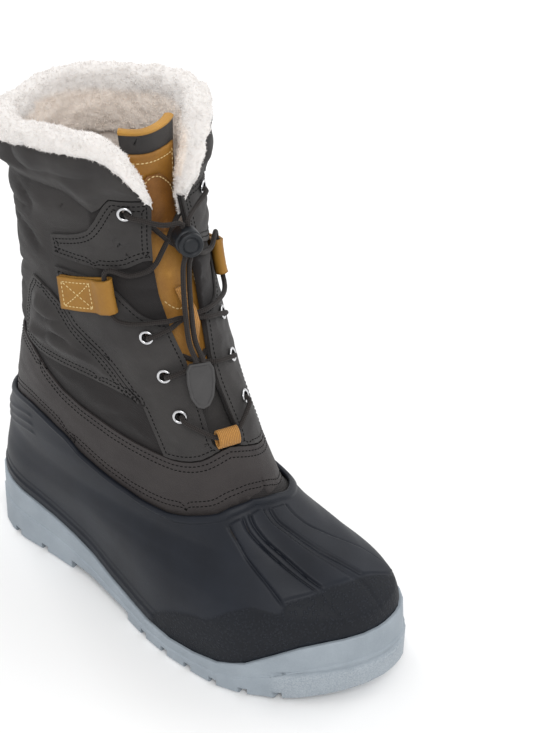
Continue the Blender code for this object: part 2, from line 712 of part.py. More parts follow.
# The fleece's section: distance from the form, and height from the cloth's top edge.
def fleece_section():
    """Points round the fleece's section, from its outer hem over the top to the lining."""
    outer_seat = OVERLAY_SEAT + CUFF_WALL + 2 * FIT_GAP
    inner_seat = LINING_FACE - 2 * FIT_GAP
    deep = inner_seat - FLEECE_IN
    return (
        (outer_seat, -0.95 * FLEECE_DROP, 0), (outer_seat + 0.6 * FLEECE_OUT, -FLEECE_DROP, 1),
        (outer_seat + FLEECE_OUT, -0.6 * FLEECE_DROP, 1), (outer_seat + 1.1 * FLEECE_OUT, 0.0, 1),
        (outer_seat + 0.5 * FLEECE_OUT, 0.7 * FLEECE_TOP, 1), ((outer_seat + deep) / 2, FLEECE_TOP, 1),
        (deep * 0.85, 0.6 * FLEECE_TOP, 1), (deep, -0.3 * FLEECE_TOP, 1), (deep, -0.5 * FLEECE_LINING, 1),
        (deep * 0.8 + inner_seat * 0.2, -0.85 * FLEECE_LINING, 1),
        (inner_seat * 0.7 + deep * 0.3, -FLEECE_LINING, 1), (inner_seat, -0.97 * FLEECE_LINING, 0),
        (inner_seat, -0.5 * FLEECE_LINING, 0), (inner_seat, 4 * FIT_GAP, 0), (outer_seat, 4 * FIT_GAP, 0),
        (outer_seat, -0.5 * FLEECE_DROP, 0),
    )


def fleece(home):
    """The fleece collar: a lumpy pile folded over the cloth's top edge, thin at the throat."""
    section = fleece_section()
    middle = (OVERLAY_SEAT + LINING_FACE) / 2
    rings = []
    edge = THROAT.rows[-1][1]
    stations = spread(edge, 360 - edge, UPPER_COLUMNS)
    for step, around in enumerate(stations):
        angle = angle_at(around, 1) if around <= 180 else angle_at(360 - around, -1)
        top = collar_height(angle)
        near = min(around, 360 - around) - edge
        full = 0.35 + 0.65 * rounded(near / 22)
        ring = []
        for place, (offset, rise, free) in enumerate(section):
            lump = free * FLEECE_LUMP * math.sin(2.1 * step + 1.7 * place) * math.cos(0.9 * step - place)
            reach = offset if not free else middle + (offset - middle) * full + lump
            if free:
                reach = max(reach, section[0][0] + 0.0006) if offset > middle else reach
                reach = min(reach, section[-4][0] - 0.0006) if place in (8, 9, 10) else reach
            ring.append(skin(angle, top + rise * (full if rise < 0 else 1) + lump, reach))
        rings.append(ring)
    finish(lofted(rings, fan_cap), "fleece_collar", "fleece", home, sharp=60)


# Cord routes: degrees from the throat's middle (+ outer), level, and the centre's distance
# from the form. Each comes out of an eyelet, crosses the throat and ends at its other edge.
TOE_BAR = (
    (28.5, 1.265, 0.0030), (24, 1.250, 0.0028), (18, 1.228, 0.0017), (9, 1.207, 0.0013),
    (0, 1.202, 0.0008), (-9, 1.207, 0.0013), (-18, 1.228, 0.0017), (-24, 1.250, 0.0028),
    (-28.5, 1.265, 0.0030),
)
CROSSING = (
    (30.5, 1.385, 0.0030), (25, 1.393, 0.0028), (18, 1.403, 0.0019), (12.5, 1.410, 0.0016),
    (7, 1.416, -0.0010), (0, 1.424, -0.0034), (-7.5, 1.433, -0.0042),
)
WAIST = (
    (35, 1.500, 0.0030), (29, 1.511, 0.0028), (22, 1.524, 0.0017), (16, 1.534, 0.0012),
    (8, 1.545, -0.0022), (0, 1.551, -0.0032), (-8, 1.555, -0.0022), (-16, 1.556, 0.0012),
    (-26, 1.552, 0.0014), (-38, 1.543, 0.0018), (-45, 1.541, 0.0026), (-50, 1.546, 0.0031),
    (-52.4, 1.566, 0.0032), (-52.5, 1.618, 0.0032), (-52.5, 1.678, 0.0031),
    (-50.5, 1.699, 0.0028), (-46, 1.699, 0.0017), (-39, 1.688, 0.0004), (-31, 1.694, -0.0004),
    (-24, 1.706, 0.0002), (-20, 1.716, 0.0004), (-16, 1.728, -0.0008), (-10, 1.747, -0.0040),
    (0, 1.778, -0.0062), (11, 1.815, -0.0075),
)
TOP = ((34, 1.880, 0.0030), (28.5, 1.876, 0.0030), (23, 1.870, 0.0030), (16, 1.862, 0.0046),
       (9, 1.858, 0.0078))
HANGING = ((-2.5, 1.710, 0.0062), (-1, 1.640, 0.0044), (1.5, 1.560, 0.0037), (4, 1.490, 0.0040))
CORD_APART = 0.0042         # between the two strands at the lock and the tab
CORD_TIP = 0.0004           # gap between a strand's end and what it enters
CORD_STRAIGHT = 0.002       # length of a strand's straight tip
LOCK_SPOT = (-3, 1.800, 0.0098)
TAB_SPOT = (7, 1.365, 0.0048)
CORD_STEP = 2.6             # diameters between a cord's points


def spot(turn, level, offset):
    """A point given by its signed turn from the throat, its level and its offset."""
    angle = angle_at(abs(turn), 1 if turn >= 0 else -1)
    return skin(angle, level_height(level), offset)


def smooth_path(points):
    """Points at an even pace along a smooth curve through the given ones."""
    ends = [2 * points[0] - points[1], *points, 2 * points[-1] - points[-2]]
    fine = []
    for a, b, c, d in zip(ends, ends[1:], ends[2:], ends[3:]):
        for step in range(12):
            t = step / 12
            fine.append(b + 0.5 * t * (c - a + t * (2 * a - 5 * b + 4 * c - d
                                                    + t * (3 * (b - c) + d - a))))
    fine.append(points[-1])
    travel = [0.0]
    for a, b in zip(fine, fine[1:]):
        travel.append(travel[-1] + (b - a).length)
    count = max(2, round(travel[-1] / (CORD_STEP * CORD)))
    path = []
    for goal in spread(0, travel[-1], count + 1):
        place = min(sum(mark < goal for mark in travel), len(fine) - 1)
        low = max(place - 1, 0)
        span = travel[place] - travel[low]
        share = (goal - travel[low]) / span if span else 0.0
        path.append(fine[low].lerp(fine[place], share))
    return path


def along(route):
    """The points of a route."""
    return [spot(*point) for point in route]


def polyline(name, points, dimensions):
    """Curve data with one straight-sided spline through the points."""
    data = bpy.data.curves.new(name, "CURVE")
    data.dimensions = dimensions
    line = data.splines.new("POLY")
    line.points.add(len(points) - 1)
    for point, place in zip(line.points, points):
        point.co = (*place, 1)
    return data


def drawn(data, home):
    """The mesh that curve data draws, with its doubles merged."""
    curve = bpy.data.objects.new(f"{data.name}_line", data)
    home.objects.link(curve)
    bpy.context.view_layer.update()
    shown = bpy.data.meshes.new_from_object(curve.evaluated_get(bpy.context.evaluated_depsgraph_get()))
    mesh = bmesh.new()
    mesh.from_mesh(shown)
    bmesh.ops.remove_doubles(mesh, verts=mesh.verts, dist=1e-6)
    bpy.data.objects.remove(curve, do_unlink=True)
    bpy.data.meshes.remove(shown)
    return mesh


def cord(name, points, home, start=(), end=()):
    """A round cord through the points, as a closed mesh; start and end are straight tips."""
    data = polyline(name, [*start, *smooth_path(points), *end], "3D")
    data.bevel_depth = CORD / 2
    data.bevel_resolution = 2
    data.use_fill_caps = True
    return finish(drawn(data, home), name, "cord", home)


def mirrored(route):
    """The same route from the other side."""
    return tuple((-turn, level, offset) for turn, level, offset in route)


def laces(home, cutters):
    """The toe bar, the joined crossings, the strands to the lock and the two hanging ends."""
    cord("lace_toe", along(TOE_BAR), home)
    for name, route in (("lace_cross", CROSSING), ("lace_waist", WAIST)):
        crossing = cord(name, along(route), home)
        cut(crossing, cord(f"{name}_other", along(mirrored(route)), cutters), "UNION")
    lock, tab = frame_at(*LOCK_SPOT), frame_at(*TAB_SPOT)
    lock_rise = LOCK_WIDTH / 2 + CORD_TIP
    tab_rise = TAB_LENGTH / 2 + CORD_TIP
    for word, side in SIDES:
        aside = side * CORD_APART / 2
        top = along(TOP if side > 0 else mirrored(TOP))
        entry = lock @ Vector((aside, 0, lock_rise + CORD_STRAIGHT))
        cord(f"lace_top_{word}", [*top, entry], home, end=[lock @ Vector((aside, 0, lock_rise))])
        leave = lock @ Vector((aside, 0, -lock_rise - CORD_STRAIGHT))
        hang = [point + lock.col[0].to_3d() * aside for point in along(HANGING)]
        hold = tab @ Vector((aside, 0, tab_rise + CORD_STRAIGHT))
        cord(f"cord_end_{word}", [leave, *hang, hold], home,
             start=[lock @ Vector((aside, 0, -lock_rise))], end=[tab @ Vector((aside, 0, tab_rise))])


TOE_LOOP_SPOT = (0, 1.201, 0.0006)
TOE_LOOP_WIDTH = 0.0135
TOE_LOOP_HEIGHT = 0.0115
TOE_LOOP_DEPTH = 0.0084
TOE_LOOP_WALL = 0.0014


def toe_loop(home):
    """The webbing loop at the throat's lower end: an oval sleeve round the lace."""
    mesh = bmesh.new()
    bmesh.ops.create_cone(mesh, cap_ends=False, segments=16, radius1=0.5, radius2=0.5,
                          depth=TOE_LOOP_WIDTH, matrix=Matrix.Rotation(math.pi / 2, 4, "Y"))
    for vert in mesh.verts:
        vert.co.y *= TOE_LOOP_DEPTH - TOE_LOOP_WALL
        vert.co.z *= TOE_LOOP_HEIGHT - TOE_LOOP_WALL
    thing = finish(mesh, "toe_loop", "webbing", home)
    thing.matrix_world = frame_at(*TOE_LOOP_SPOT)
    solid = thing.modifiers.new("wall", "SOLIDIFY")
    solid.thickness = TOE_LOOP_WALL
    solid.offset = 0


SHAFT_GIRTH = 0.00083       # metres round the shaft per degree, beside the throat
LOOP_TURN = 52.5
LOOP_LEVEL = 1.618
LOOP_SLOPE = 0.0016         # levels per degree: the strap drops towards the heel
LOOP_HEIGHT = 0.105         # in levels
LOOP_FOLD = 0.0031


def side_loop(word, side, home):
    """A webbing strap folded round the lace, its two layers lying on the flap behind the fold."""
    seat = OVERLAY_FACE + FIT_GAP + LOOP_WALL / 2
    second = seat + LOOP_WALL + FIT_GAP
    fold = seat + LOOP_FOLD
    section = [(turn, seat) for turn in (82, 77, 72, 67, 62)] + [(57, seat + 0.0003)]
    section += [(LOOP_TURN + LOOP_FOLD / SHAFT_GIRTH * math.sin(math.radians(angle)),
                 fold - LOOP_FOLD * math.cos(math.radians(angle))) for angle in (-20, -60, -90, -120, -160)]
    section += [(57, fold + 0.0020), (61, second + 0.0007), (66, second), (72, second), (82, second)]

    def place(step, row, face):
        turn, offset = section[step]
        before, after = section[max(step - 1, 0)], section[min(step + 1, len(section) - 1)]
        along = Vector(((after[0] - before[0]) * SHAFT_GIRTH, after[1] - before[1])).normalized()
        turn += -along.y * face / SHAFT_GIRTH
        offset += along.x * face
        level = LOOP_LEVEL - LOOP_SLOPE * (turn - LOOP_TURN) + (row - 0.5) * LOOP_HEIGHT
        return spot(side * turn, level, offset)

    steps = list(range(len(section)))
    mesh = slab(steps if side > 0 else steps[::-1], spread(0, 1, 3), place,
                (LOOP_WALL / 2, -LOOP_WALL / 2))
    bmesh.ops.recalc_face_normals(mesh, faces=mesh.faces)
    finish(mesh, f"side_loop_{word}", "webbing", home)


KEEPER_TURN = -3.5
KEEPER_WIDTH = 9.5          # degrees


def keeper(home):
    """The webbing keeper on the tongue, bridging the lace's upper crossing."""
    levels = (1.470, 1.480, 1.505, 1.530, 1.575, 1.600, 1.625, 1.635)
    rises = (0.0, 0.0002, 0.0034, 0.0064, 0.0064, 0.0034, 0.0002, 0.0)
    seat = FIT_GAP + PANEL_WALL + FIT_GAP

    def place(column, step, face):
        turn = KEEPER_TURN + column * KEEPER_WIDTH / 2
        angle = angle_at(abs(turn), 1 if turn >= 0 else -1)
        level = levels[step]
        return skin(angle, level_height(level), TONGUE.at(level).face + seat + rises[step] + face)

    mesh = slab([-1, 0, 1], list(range(len(levels))), place, (LOOP_WALL * 0.75, 0.0))
    finish(mesh, "tongue_keeper", "webbing", home)


PATCH_HALF = 22.0           # degrees
PATCH_LOW = 1.790
PATCH_HIGH = 1.965
PATCH_ROWS = (0.0, 0.3, 0.55, 0.7, 0.83, 0.92, 0.965)
PATCH_ROUND = 0.45          # share of its height where its top starts to round


def patch(home):
    """The round-topped leather patch on the tongue's panel, left plain."""
    def place(column, row, face):
        half = PATCH_HALF * math.sqrt(1 - max(0.0, (row - PATCH_ROUND) / (1 - PATCH_ROUND)) ** 2)
        turn = column * half
        level = PATCH_LOW + (PATCH_HIGH - PATCH_LOW) * row
        angle = angle_at(abs(turn), 1 if turn >= 0 else -1)
        return skin(angle, level_height(level), TONGUE.at(level).face + 4 * FIT_GAP + PANEL_WALL + face)

    finish(slab(spread(-1, 1, 9), PATCH_ROWS, place, (PANEL_WALL, 0.0)), "tongue_patch", "leather", home)


def round_bar(name, coat, matrix, width, length, edge, home):
    """A cylinder along the matrix's X axis with rounded ends."""
    mesh = bmesh.new()
    turned = matrix @ Matrix.Rotation(math.pi / 2, 4, "Y")
    bmesh.ops.create_cone(mesh, cap_ends=True, segments=16, radius1=width / 2, radius2=width / 2,
                          depth=length, matrix=turned)
    thing = finish(mesh, name, coat, home)
    bevel = thing.modifiers.new("edge", "BEVEL")
    bevel.width = edge
    bevel.segments = 2
    return thing


# The end tab's outline, as shares of its width and length.
TAB_OUTLINE = (
    (-0.36, 0.50), (0.36, 0.50), (0.49, 0.36), (0.50, 0.08), (0.41, -0.25), (0.22, -0.45), (0.0, -0.50),
    (-0.22, -0.45), (-0.41, -0.25), (-0.50, 0.08), (-0.49, 0.36),
)


def lock_and_tab(home):
    """The cord lock with its push button, and the shield-shaped end tab."""
    place = frame_at(*LOCK_SPOT) @ Matrix.Rotation(LOCK_TWIST, 4, "Z")
    round_bar("cord_lock", "lock", place, LOCK_WIDTH, LOCK_LENGTH, 0.0015, home)
    reach = LOCK_LENGTH / 2 + FIT_GAP + BUTTON_THICK / 2
    button = place @ Matrix.Translation((reach, 0, 0))
    round_bar("lock_button", "lock", button, LOCK_BUTTON, BUTTON_THICK, 0.001, home)
    outline = [(across * TAB_WIDTH, up * TAB_LENGTH, 0) for across, up in TAB_OUTLINE]
    data = polyline("lace_tab", outline, "2D")
    data.splines[0].use_cyclic_u = True
    data.fill_mode = "BOTH"
    data.extrude = TAB_WALL / 2
    mesh = drawn(data, home)
    matrix = frame_at(*TAB_SPOT) @ Matrix.Rotation(math.pi / 2, 4, "X")
    bmesh.ops.transform(mesh, matrix=matrix, verts=mesh.verts)
    finish(mesh, "lace_tab", "rand", home)


def main():
    home, cutters = start_scene()
    holes = eyelet_holes(cutters)
    outsole(home, cutters)
    rubber_shell(home)
    upper(home, holes)
    overlays(home, cutters, holes)
    insole(home)
    tongue(home)
    patch(home)
    keeper(home)
    eyelets(home)
    fleece(home)
    laces(home, cutters)
    for word, side in SIDES:
        side_loop(word, side, home)
    toe_loop(home)
    lock_and_tab(home)


main()
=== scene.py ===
# %% [markdown]
# # A snow boot, dressed for its portrait
#
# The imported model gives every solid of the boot: a rubber lower on a grey sole, a padded
# cloth shaft with sewn panels, a tongue, a cord with a lock, and a fleece collar. Those
# solids are plain and faceted. This lesson gives each one its visible form and its finish.
# Nothing is moved: every new piece lies where the frame's solid lies.

# %% Load the frame
import math
import random

import bmesh
import bpy
import numpy as np
from mathutils import Matrix, Vector, noise
from mathutils.bvhtree import BVHTree
from mathutils.kdtree import KDTree


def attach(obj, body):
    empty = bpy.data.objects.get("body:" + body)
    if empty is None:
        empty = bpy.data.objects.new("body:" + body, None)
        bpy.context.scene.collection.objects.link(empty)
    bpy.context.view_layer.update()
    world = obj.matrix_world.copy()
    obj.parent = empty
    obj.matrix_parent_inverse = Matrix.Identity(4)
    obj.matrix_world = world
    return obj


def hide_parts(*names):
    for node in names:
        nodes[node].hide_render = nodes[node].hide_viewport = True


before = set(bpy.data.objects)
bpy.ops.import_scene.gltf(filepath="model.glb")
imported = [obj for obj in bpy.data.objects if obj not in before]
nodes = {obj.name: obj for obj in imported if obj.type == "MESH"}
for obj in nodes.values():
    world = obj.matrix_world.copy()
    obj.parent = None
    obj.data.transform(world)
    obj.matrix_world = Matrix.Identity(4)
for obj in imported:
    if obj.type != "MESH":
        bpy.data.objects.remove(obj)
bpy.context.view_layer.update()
print("solids in the frame:", len(nodes))

# %% [markdown]
# The camera comes first, because everything later is judged through it. The photo was
# taken from the boot's outer side, about 35 degrees above the floor, with a long lens from
# just under a metre away. The camera's axes are worked out from those angles, and its lens
# from the size of the boot in the frame.

# %% The camera
MM = 0.001
MIDDLE = 5.942 * MM          # the form's middle line lies this far along X
AZIMUTH, ELEVATION, ROLL = (math.radians(value) for value in (-55.44, 34.52, 1.94))
AIM = Vector((4.46 * MM + MIDDLE, -55.43 * MM, 190.47 * MM))
DISTANCE = 0.94549
LENS, SENSOR = 80.75, 36


def linked(name, data):
    """A new object that shows the data in the scene."""
    thing = bpy.data.objects.new(name, data)
    bpy.context.scene.collection.objects.link(thing)
    return thing


def matrix_of(x_axis, y_axis, z_axis, place):
    """A matrix from its three axes and its place."""
    matrix = Matrix((x_axis, y_axis, z_axis)).transposed().to_4x4()
    matrix.translation = place
    return matrix


back = Vector((math.sin(AZIMUTH) * math.cos(ELEVATION),
               -math.cos(AZIMUTH) * math.cos(ELEVATION), math.sin(ELEVATION)))
right = Vector((0, 0, 1)).cross(back).normalized()
upward = back.cross(right)
turned_right = right * math.cos(ROLL) + upward * math.sin(ROLL)
turned_up = upward * math.cos(ROLL) - right * math.sin(ROLL)
camera_data = bpy.data.cameras.new("camera")
camera_data.lens = LENS
camera_data.sensor_width = SENSOR
camera = linked("camera", camera_data)
camera.matrix_world = matrix_of(turned_right, turned_up, back, AIM + back * DISTANCE)
bpy.context.scene.camera = camera
print("camera at", [round(value, 3) for value in camera.location])

# %% [markdown]
# The floor is a plain pale sheet, far larger than the boot, so that no edge shows. Three
# large soft lamps and a bright even sky give the flat light of a catalogue picture.

# %% Floor and light
FLOOR_SIZE = 12
SKY_STRENGTH = 0.75
LOOKED_AT = Vector((0, 0, 0.15))

bpy.ops.object.select_all(action="DESELECT")
bpy.ops.mesh.primitive_plane_add(size=FLOOR_SIZE, location=(0, 0, 0))
floor = bpy.context.object
floor.name = "floor"

world = bpy.data.worlds.new("sky")
bpy.context.scene.world = world
world.use_nodes = True
sky = world.node_tree.nodes["Background"]
sky.inputs["Color"].default_value = (1.0, 1.0, 1.0, 1.0)
sky.inputs["Strength"].default_value = SKY_STRENGTH
bpy.context.scene.view_settings.view_transform = "Standard"


def lamp(name, place, size, power):
    """A square soft lamp that looks at the middle of the boot."""
    data = bpy.data.lights.new(name, "AREA")
    data.size = size
    data.energy = power
    thing = linked(name, data)
    thing.location = place
    thing.rotation_euler = (LOOKED_AT - Vector(place)).to_track_quat("-Z", "Y").to_euler()


lamp("key", (-1.3, -1.2, 1.9), 1.2, 26)
lamp("fill", (1.6, -0.9, 1.3), 1.4, 12)
lamp("rim", (0.4, 1.7, 1.6), 1.2, 16)
print("lamps:", len(bpy.data.lights))

# %% [markdown]
# ## Shader maths as Python
#
# A node graph is easier to read as a formula. The small class below wraps one socket, and
# its operators add the Math nodes. Colours go through Mix nodes instead, because a Math
# node would turn them grey. Every other node comes from one method of the graph, and the
# kinds that come back often have short methods of their own.

# %% A socket with operators
NOISE_ROUGHNESS = 0.55
SCREEN_GAMMA = 2.2


class Sock:
    """One output socket; sums and products of sockets add Math nodes."""

    def __init__(self, graph, out):
        self.graph = graph
        self.out = out

    def _math(self, operation, first, second=0.0):
        return self.graph.add("ShaderNodeMath", {"operation": operation}, {0: first, 1: second})

    def __add__(self, other):
        return self._math("ADD", self, other)

    __radd__ = __add__

    def __sub__(self, other):
        return self._math("SUBTRACT", self, other)

    def __rsub__(self, other):
        return self._math("SUBTRACT", other, self)

    def __mul__(self, other):
        return self._math("MULTIPLY", self, other)

    def sine(self):
        return self._math("SINE", self)


class Graph:
    """A material with a Principled shader, and short ways to add its other nodes."""

    def __init__(self, name, roughness=0.6, metallic=0.0, **constants):
        self.material = bpy.data.materials.new(name)
        self.material.use_nodes = True
        self.tree = self.material.node_tree
        self.shader = self.tree.nodes["Principled BSDF"]
        self.shader.inputs["Roughness"].default_value = roughness
        self.shader.inputs["Metallic"].default_value = metallic
        for socket, value in constants.items():
            self.shader.inputs[socket.replace("_", " ")].default_value = value

    def add(self, kind, settings=None, sockets=None, out=0):
        """A node of a kind: its settings first, then its sockets' values or links."""
        node = self.tree.nodes.new(kind)
        for key, value in (settings or {}).items():
            setattr(node, key, value)
        for key, value in (sockets or {}).items():
            if isinstance(value, Sock):
                self.tree.links.new(value.out, node.inputs[key])
            else:
                node.inputs[key].default_value = value
        return Sock(self, node.outputs[out])

    def noise(self, scale, detail):
        """Fractal noise with a number of lumps per metre."""
        place = self.add("ShaderNodeTexCoord", out="Object")
        return self.add("ShaderNodeTexNoise", None,
                        {"Vector": place, "Scale": scale, "Detail": detail, "Roughness": NOISE_ROUGHNESS})

    def cells(self, scale):
        """Distance to the nearest cell point, with a number of cells per metre."""
        place = self.add("ShaderNodeTexCoord", out="Object")
        return self.add("ShaderNodeTexVoronoi", None, {"Vector": place, "Scale": scale})

    def axes(self):
        """The UV map's two coordinates, in metres."""
        split = self.add("ShaderNodeSeparateXYZ", None, {0: self.add("ShaderNodeTexCoord", out="UV")})
        return [Sock(self, split.out.node.outputs[index]) for index in range(2)]

    def weave(self, yarn):
        """Crossed waves on the UV map; yarn is the spacing of the threads in metres."""
        across, along = self.axes()
        wave = 2 * math.pi / yarn
        return (across * wave).sine() * (along * wave).sine()

    def ranged(self, value, low, high, first=0.0, last=1.0):
        """A value between low and high, brought between first and last."""
        return self.add("ShaderNodeMapRange", None, {0: value, 1: low, 2: high, 3: first, 4: last})

    def flag(self, name):
        """A number stored on the piece's points."""
        return self.add("ShaderNodeAttribute", {"attribute_name": name}, out="Fac")

    def mix(self, share, first, second):
        """A blend of two colours."""
        node = self.tree.nodes.new("ShaderNodeMix")
        node.data_type = "RGBA"
        node.clamp_factor = True
        for key, value in ((0, share), (6, first), (7, second)):
            if isinstance(value, Sock):
                self.tree.links.new(value.out, node.inputs[key])
            elif key:
                node.inputs[key].default_value = (*value[:3], 1.0)
            else:
                node.inputs[key].default_value = value
        return Sock(self, node.outputs[2])

    def feed(self, socket, value):
        """Link a value to the Principled shader."""
        self.tree.links.new(value.out, self.shader.inputs[socket])

    def bump(self, height, distance, strength, under=None):
        """A Bump node; under is the normal of a coarser bump."""
        sockets = {"Height": height, "Distance": distance, "Strength": strength}
        if under:
            sockets["Normal"] = under
        return self.add("ShaderNodeBump", None, sockets)


def shade(value):
    """A colour from screen values 0-255."""
    return tuple((part / 255) ** SCREEN_GAMMA for part in value)


def darker(colour, share):
    """A colour with a share of its light."""
    return tuple(part * share for part in colour)


# %% [markdown]
# ## The finishes
#
# The shaft is a tight woven cloth with a dry sheen. Its threads lie about a millimetre
# apart, so a crossed pair of sine waves on the UV map makes the weave, and two scales of
# noise make it uneven, as cloth is after wear. The rand is a sheet of grained imitation
# leather, and the ochre panel, patch and side loops are real leather of the same recipe.

# %% Cloth and rand
PANEL_YARN, SHAFT_YARN = 0.0009, 0.0011

woven = Graph("shaft_cloth", roughness=0.78, Sheen_Weight=0.08, Sheen_Roughness=0.5, Specular_IOR_Level=0.3)
weave = woven.weave(PANEL_YARN)
cloud = woven.noise(38, 4.0)
fine = woven.noise(900, 2.0)
tone = woven.ranged(cloud + fine * 0.25, 0.35, 0.85)
woven.feed("Base Color", woven.mix(tone, shade((46, 44, 44)), shade((60, 58, 57))))
woven.feed("Roughness", fine * 0.2 + 0.66)
coarse = woven.bump(cloud, 0.0016, 0.5)
woven.feed("Normal", woven.bump(weave + fine * 1.5, 0.00012, 0.6, coarse))
CLOTH = woven.material


def grained(name, colour, dark, grain, depth, rough, wear=None):
    """Leather-like sheet: small cells for grain, broad noise for its colour, and worn spots."""
    graph = Graph(name, roughness=rough, Specular_IOR_Level=0.35)
    cells = graph.cells(grain)
    broad = graph.noise(45, 5.0)
    fine = graph.noise(700, 3.0)
    colours = graph.mix(graph.ranged(broad + fine * 0.3, 0.4, 0.9), dark, colour)
    if wear:
        rub = graph.ranged(graph.noise(120, 6.0), 0.62, 0.8)
        colours = graph.mix(rub * 0.5, colours, wear)
    graph.feed("Base Color", colours)
    graph.feed("Roughness", rough - 0.08 + fine * 0.2)
    soft = graph.bump(broad, 0.0006, 0.4)
    graph.feed("Normal", graph.bump(cells + fine * 0.4, depth, 0.7, soft))
    return graph.material


RAND = grained("rand_sheet", shade((56, 52, 51)), shade((47, 43, 43)), 1500, 0.00018, 0.6)
LEATHER = grained("ochre_leather", shade((158, 113, 50)), shade((124, 84, 34)), 1300, 0.00014, 0.5,
                  shade((190, 140, 68)))
PATCH = grained("patch_leather", shade((138, 92, 42)), shade((92, 60, 28)), 1300, 0.00014, 0.45,
                shade((176, 124, 60)))
LOOP = grained("loop_leather", shade((154, 112, 46)), shade((130, 90, 32)), 1700, 0.0001, 0.55)
print("cloth and leather:", [finish.name for finish in (CLOTH, RAND, LEATHER, PATCH, LOOP)])

# %% [markdown]
# Moulded rubber is matte, with a faint speckle from the mould and soft cloudy patches. Its
# toe cap has a field of small dots, which only shows where the piece's own flag says so; the
# dots' raised tops are painted lighter, a painted highlight.

# %% Rubber and sole
rubber = Graph("shell_rubber", roughness=0.5, Specular_IOR_Level=0.28)
cloud = rubber.noise(26, 5.0)
speck = rubber.noise(1400, 2.0)
base = rubber.mix(rubber.ranged(cloud, 0.3, 0.75), shade((22, 25, 32)), shade((32, 36, 44)))
toe = rubber.flag("toe")
dot_height = rubber.ranged(rubber.cells(480), 0.25, 0.45, 1.0, 0.0)
capped = rubber.mix(toe * 0.55, base, shade((14, 17, 22)))
# painted highlight: the dots' raised tops get a lighter colour, following the same height as their bump
rubber.feed("Base Color", rubber.mix(dot_height * toe * 0.3, capped, shade((44, 48, 56))))
rubber.feed("Roughness", 0.42 + speck * 0.18 + toe * 0.12)
mould = rubber.bump(speck, 0.00008, 0.5)
rubber.feed("Normal", rubber.bump(dot_height * toe, 0.0004, 0.8, mould))
RUBBER = rubber.material

grey = Graph("sole_rubber", roughness=0.62)
cloud = grey.noise(34, 5.0)
speck = grey.noise(1100, 3.0)
tone = grey.ranged(cloud + speck * 0.4, 0.45, 0.95)
body = grey.mix(tone, shade((132, 141, 149)), shade((151, 160, 168)))
scuff = grey.ranged(grey.flag("scuff"), 0.2, 1.0)
grains = grey.ranged(speck, 0.42, 0.62)
grey.feed("Base Color", grey.mix(scuff * grains * 0.6, body, shade((168, 174, 179))))
grey.feed("Roughness", 0.5 + speck * 0.25)
grey.feed("Normal", grey.bump(speck, 0.00016, 0.6))
SOLE = grey.material
print("rubber:", RUBBER.name, SOLE.name)

# %% [markdown]
# Fleece is a soft mass that lets light through, so its shader is nearly white with light
# below the surface. The thin fuzz on it and the pile inside the shaft go without that light,
# and towards the inside both turn a warmer beige.

# %% Fleece, webbing, cord, steel and plastic
def pile(name, outer, inner, glow=0.0):
    """Soft pile: lumpy noise in its bump, painted shade in the lumps' hollows, a second colour where its
    flag is up, and a glow.
    """
    graph = Graph(name, roughness=0.95, Sheen_Weight=0.15, Subsurface_Weight=glow,
                  Subsurface_Scale=0.004, Subsurface_Radius=(1.0, 0.95, 0.9), Specular_IOR_Level=0.1)
    lumps = graph.noise(420, 4.0)
    broad = graph.noise(60, 3.0)
    # painted shade: the lumps' low parts, from the same noise as the bump, get a darker tone of each colour
    tone = graph.ranged(lumps, 0.3, 0.65)
    outside = graph.mix(tone, darker(outer, 0.93), outer)
    inside = graph.mix(tone, darker(inner, 0.9), inner)
    graph.feed("Base Color", graph.mix(graph.flag("inside") + broad * 0.1, outside, inside))
    graph.feed("Normal", graph.bump(lumps, 0.0011, 0.6))
    return graph.material


FLEECE = pile("fleece", shade((224, 220, 217)), shade((238, 227, 217)), 0.5)
FUZZ = pile("fleece_fuzz", shade((229, 225, 222)), shade((240, 229, 219)))
LINING = pile("lining", shade((232, 221, 212)), shade((232, 221, 212)))
PICK_SHARE = 0.45            # spacing of the threads across, as a share of the ribs'


def ribbed(name, colour, dark, rib):
    """Webbing with raised ribs along its length and fine threads across, on the UV map."""
    graph = Graph(name, roughness=0.68, Sheen_Weight=0.1)
    across, along = graph.axes()
    ribs = (across * (2 * math.pi / rib)).sine() * 0.5 + 0.5
    picks = (along * (2 * math.pi / (rib * PICK_SHARE))).sine() * 0.5 + 0.5
    tone = ribs * 0.75 + picks * 0.1 + graph.noise(300, 3.0) * 0.25
    graph.feed("Base Color", graph.mix(tone, dark, colour))
    graph.feed("Normal", graph.bump(ribs + picks * 0.25, 0.0004, 0.9))
    return graph.material


WEBBING = ribbed("amber_webbing", shade((190, 136, 64)), shade((140, 92, 36)), 0.0011)
BINDING = ribbed("tongue_binding", shade((214, 158, 58)), shade((176, 120, 34)), 0.0009)

BRAID_THREADS, BRAID_PITCH = 4, 0.0022
lace = Graph("braided_cord", roughness=0.75, Sheen_Weight=0.05, Specular_IOR_Level=0.3)
around, along = lace.axes()
turned = around * (2 * math.pi * BRAID_THREADS)
advanced = along * (2 * math.pi / BRAID_PITCH)
braid = (turned + advanced).sine() * (turned - advanced).sine() * 0.5 + 0.5
lace.feed("Base Color", lace.mix(braid, shade((28, 25, 24)), shade((52, 47, 45))))
lace.feed("Normal", lace.bump(braid, 0.00035, 0.9))
CORD = lace.material

ring = Graph("steel", roughness=0.22, metallic=1.0)
scratch = ring.noise(260, 5.0)
ring.feed("Base Color", ring.mix(scratch, shade((168, 168, 170)), shade((232, 232, 234))))
ring.feed("Roughness", 0.14 + scratch * 0.2)
STEEL = ring.material


def moulded(name, colour, dark, rough):
    """Moulded plastic with a faint skin."""
    graph = Graph(name, roughness=rough, Specular_IOR_Level=0.35)
    broad = graph.noise(160, 4.0)
    fine = graph.noise(1600, 2.0)
    graph.feed("Base Color", graph.mix(broad, dark, colour))
    graph.feed("Roughness", rough - 0.06 + broad * 0.14)
    graph.feed("Normal", graph.bump(fine, 0.00006, 0.6))
    return graph.material


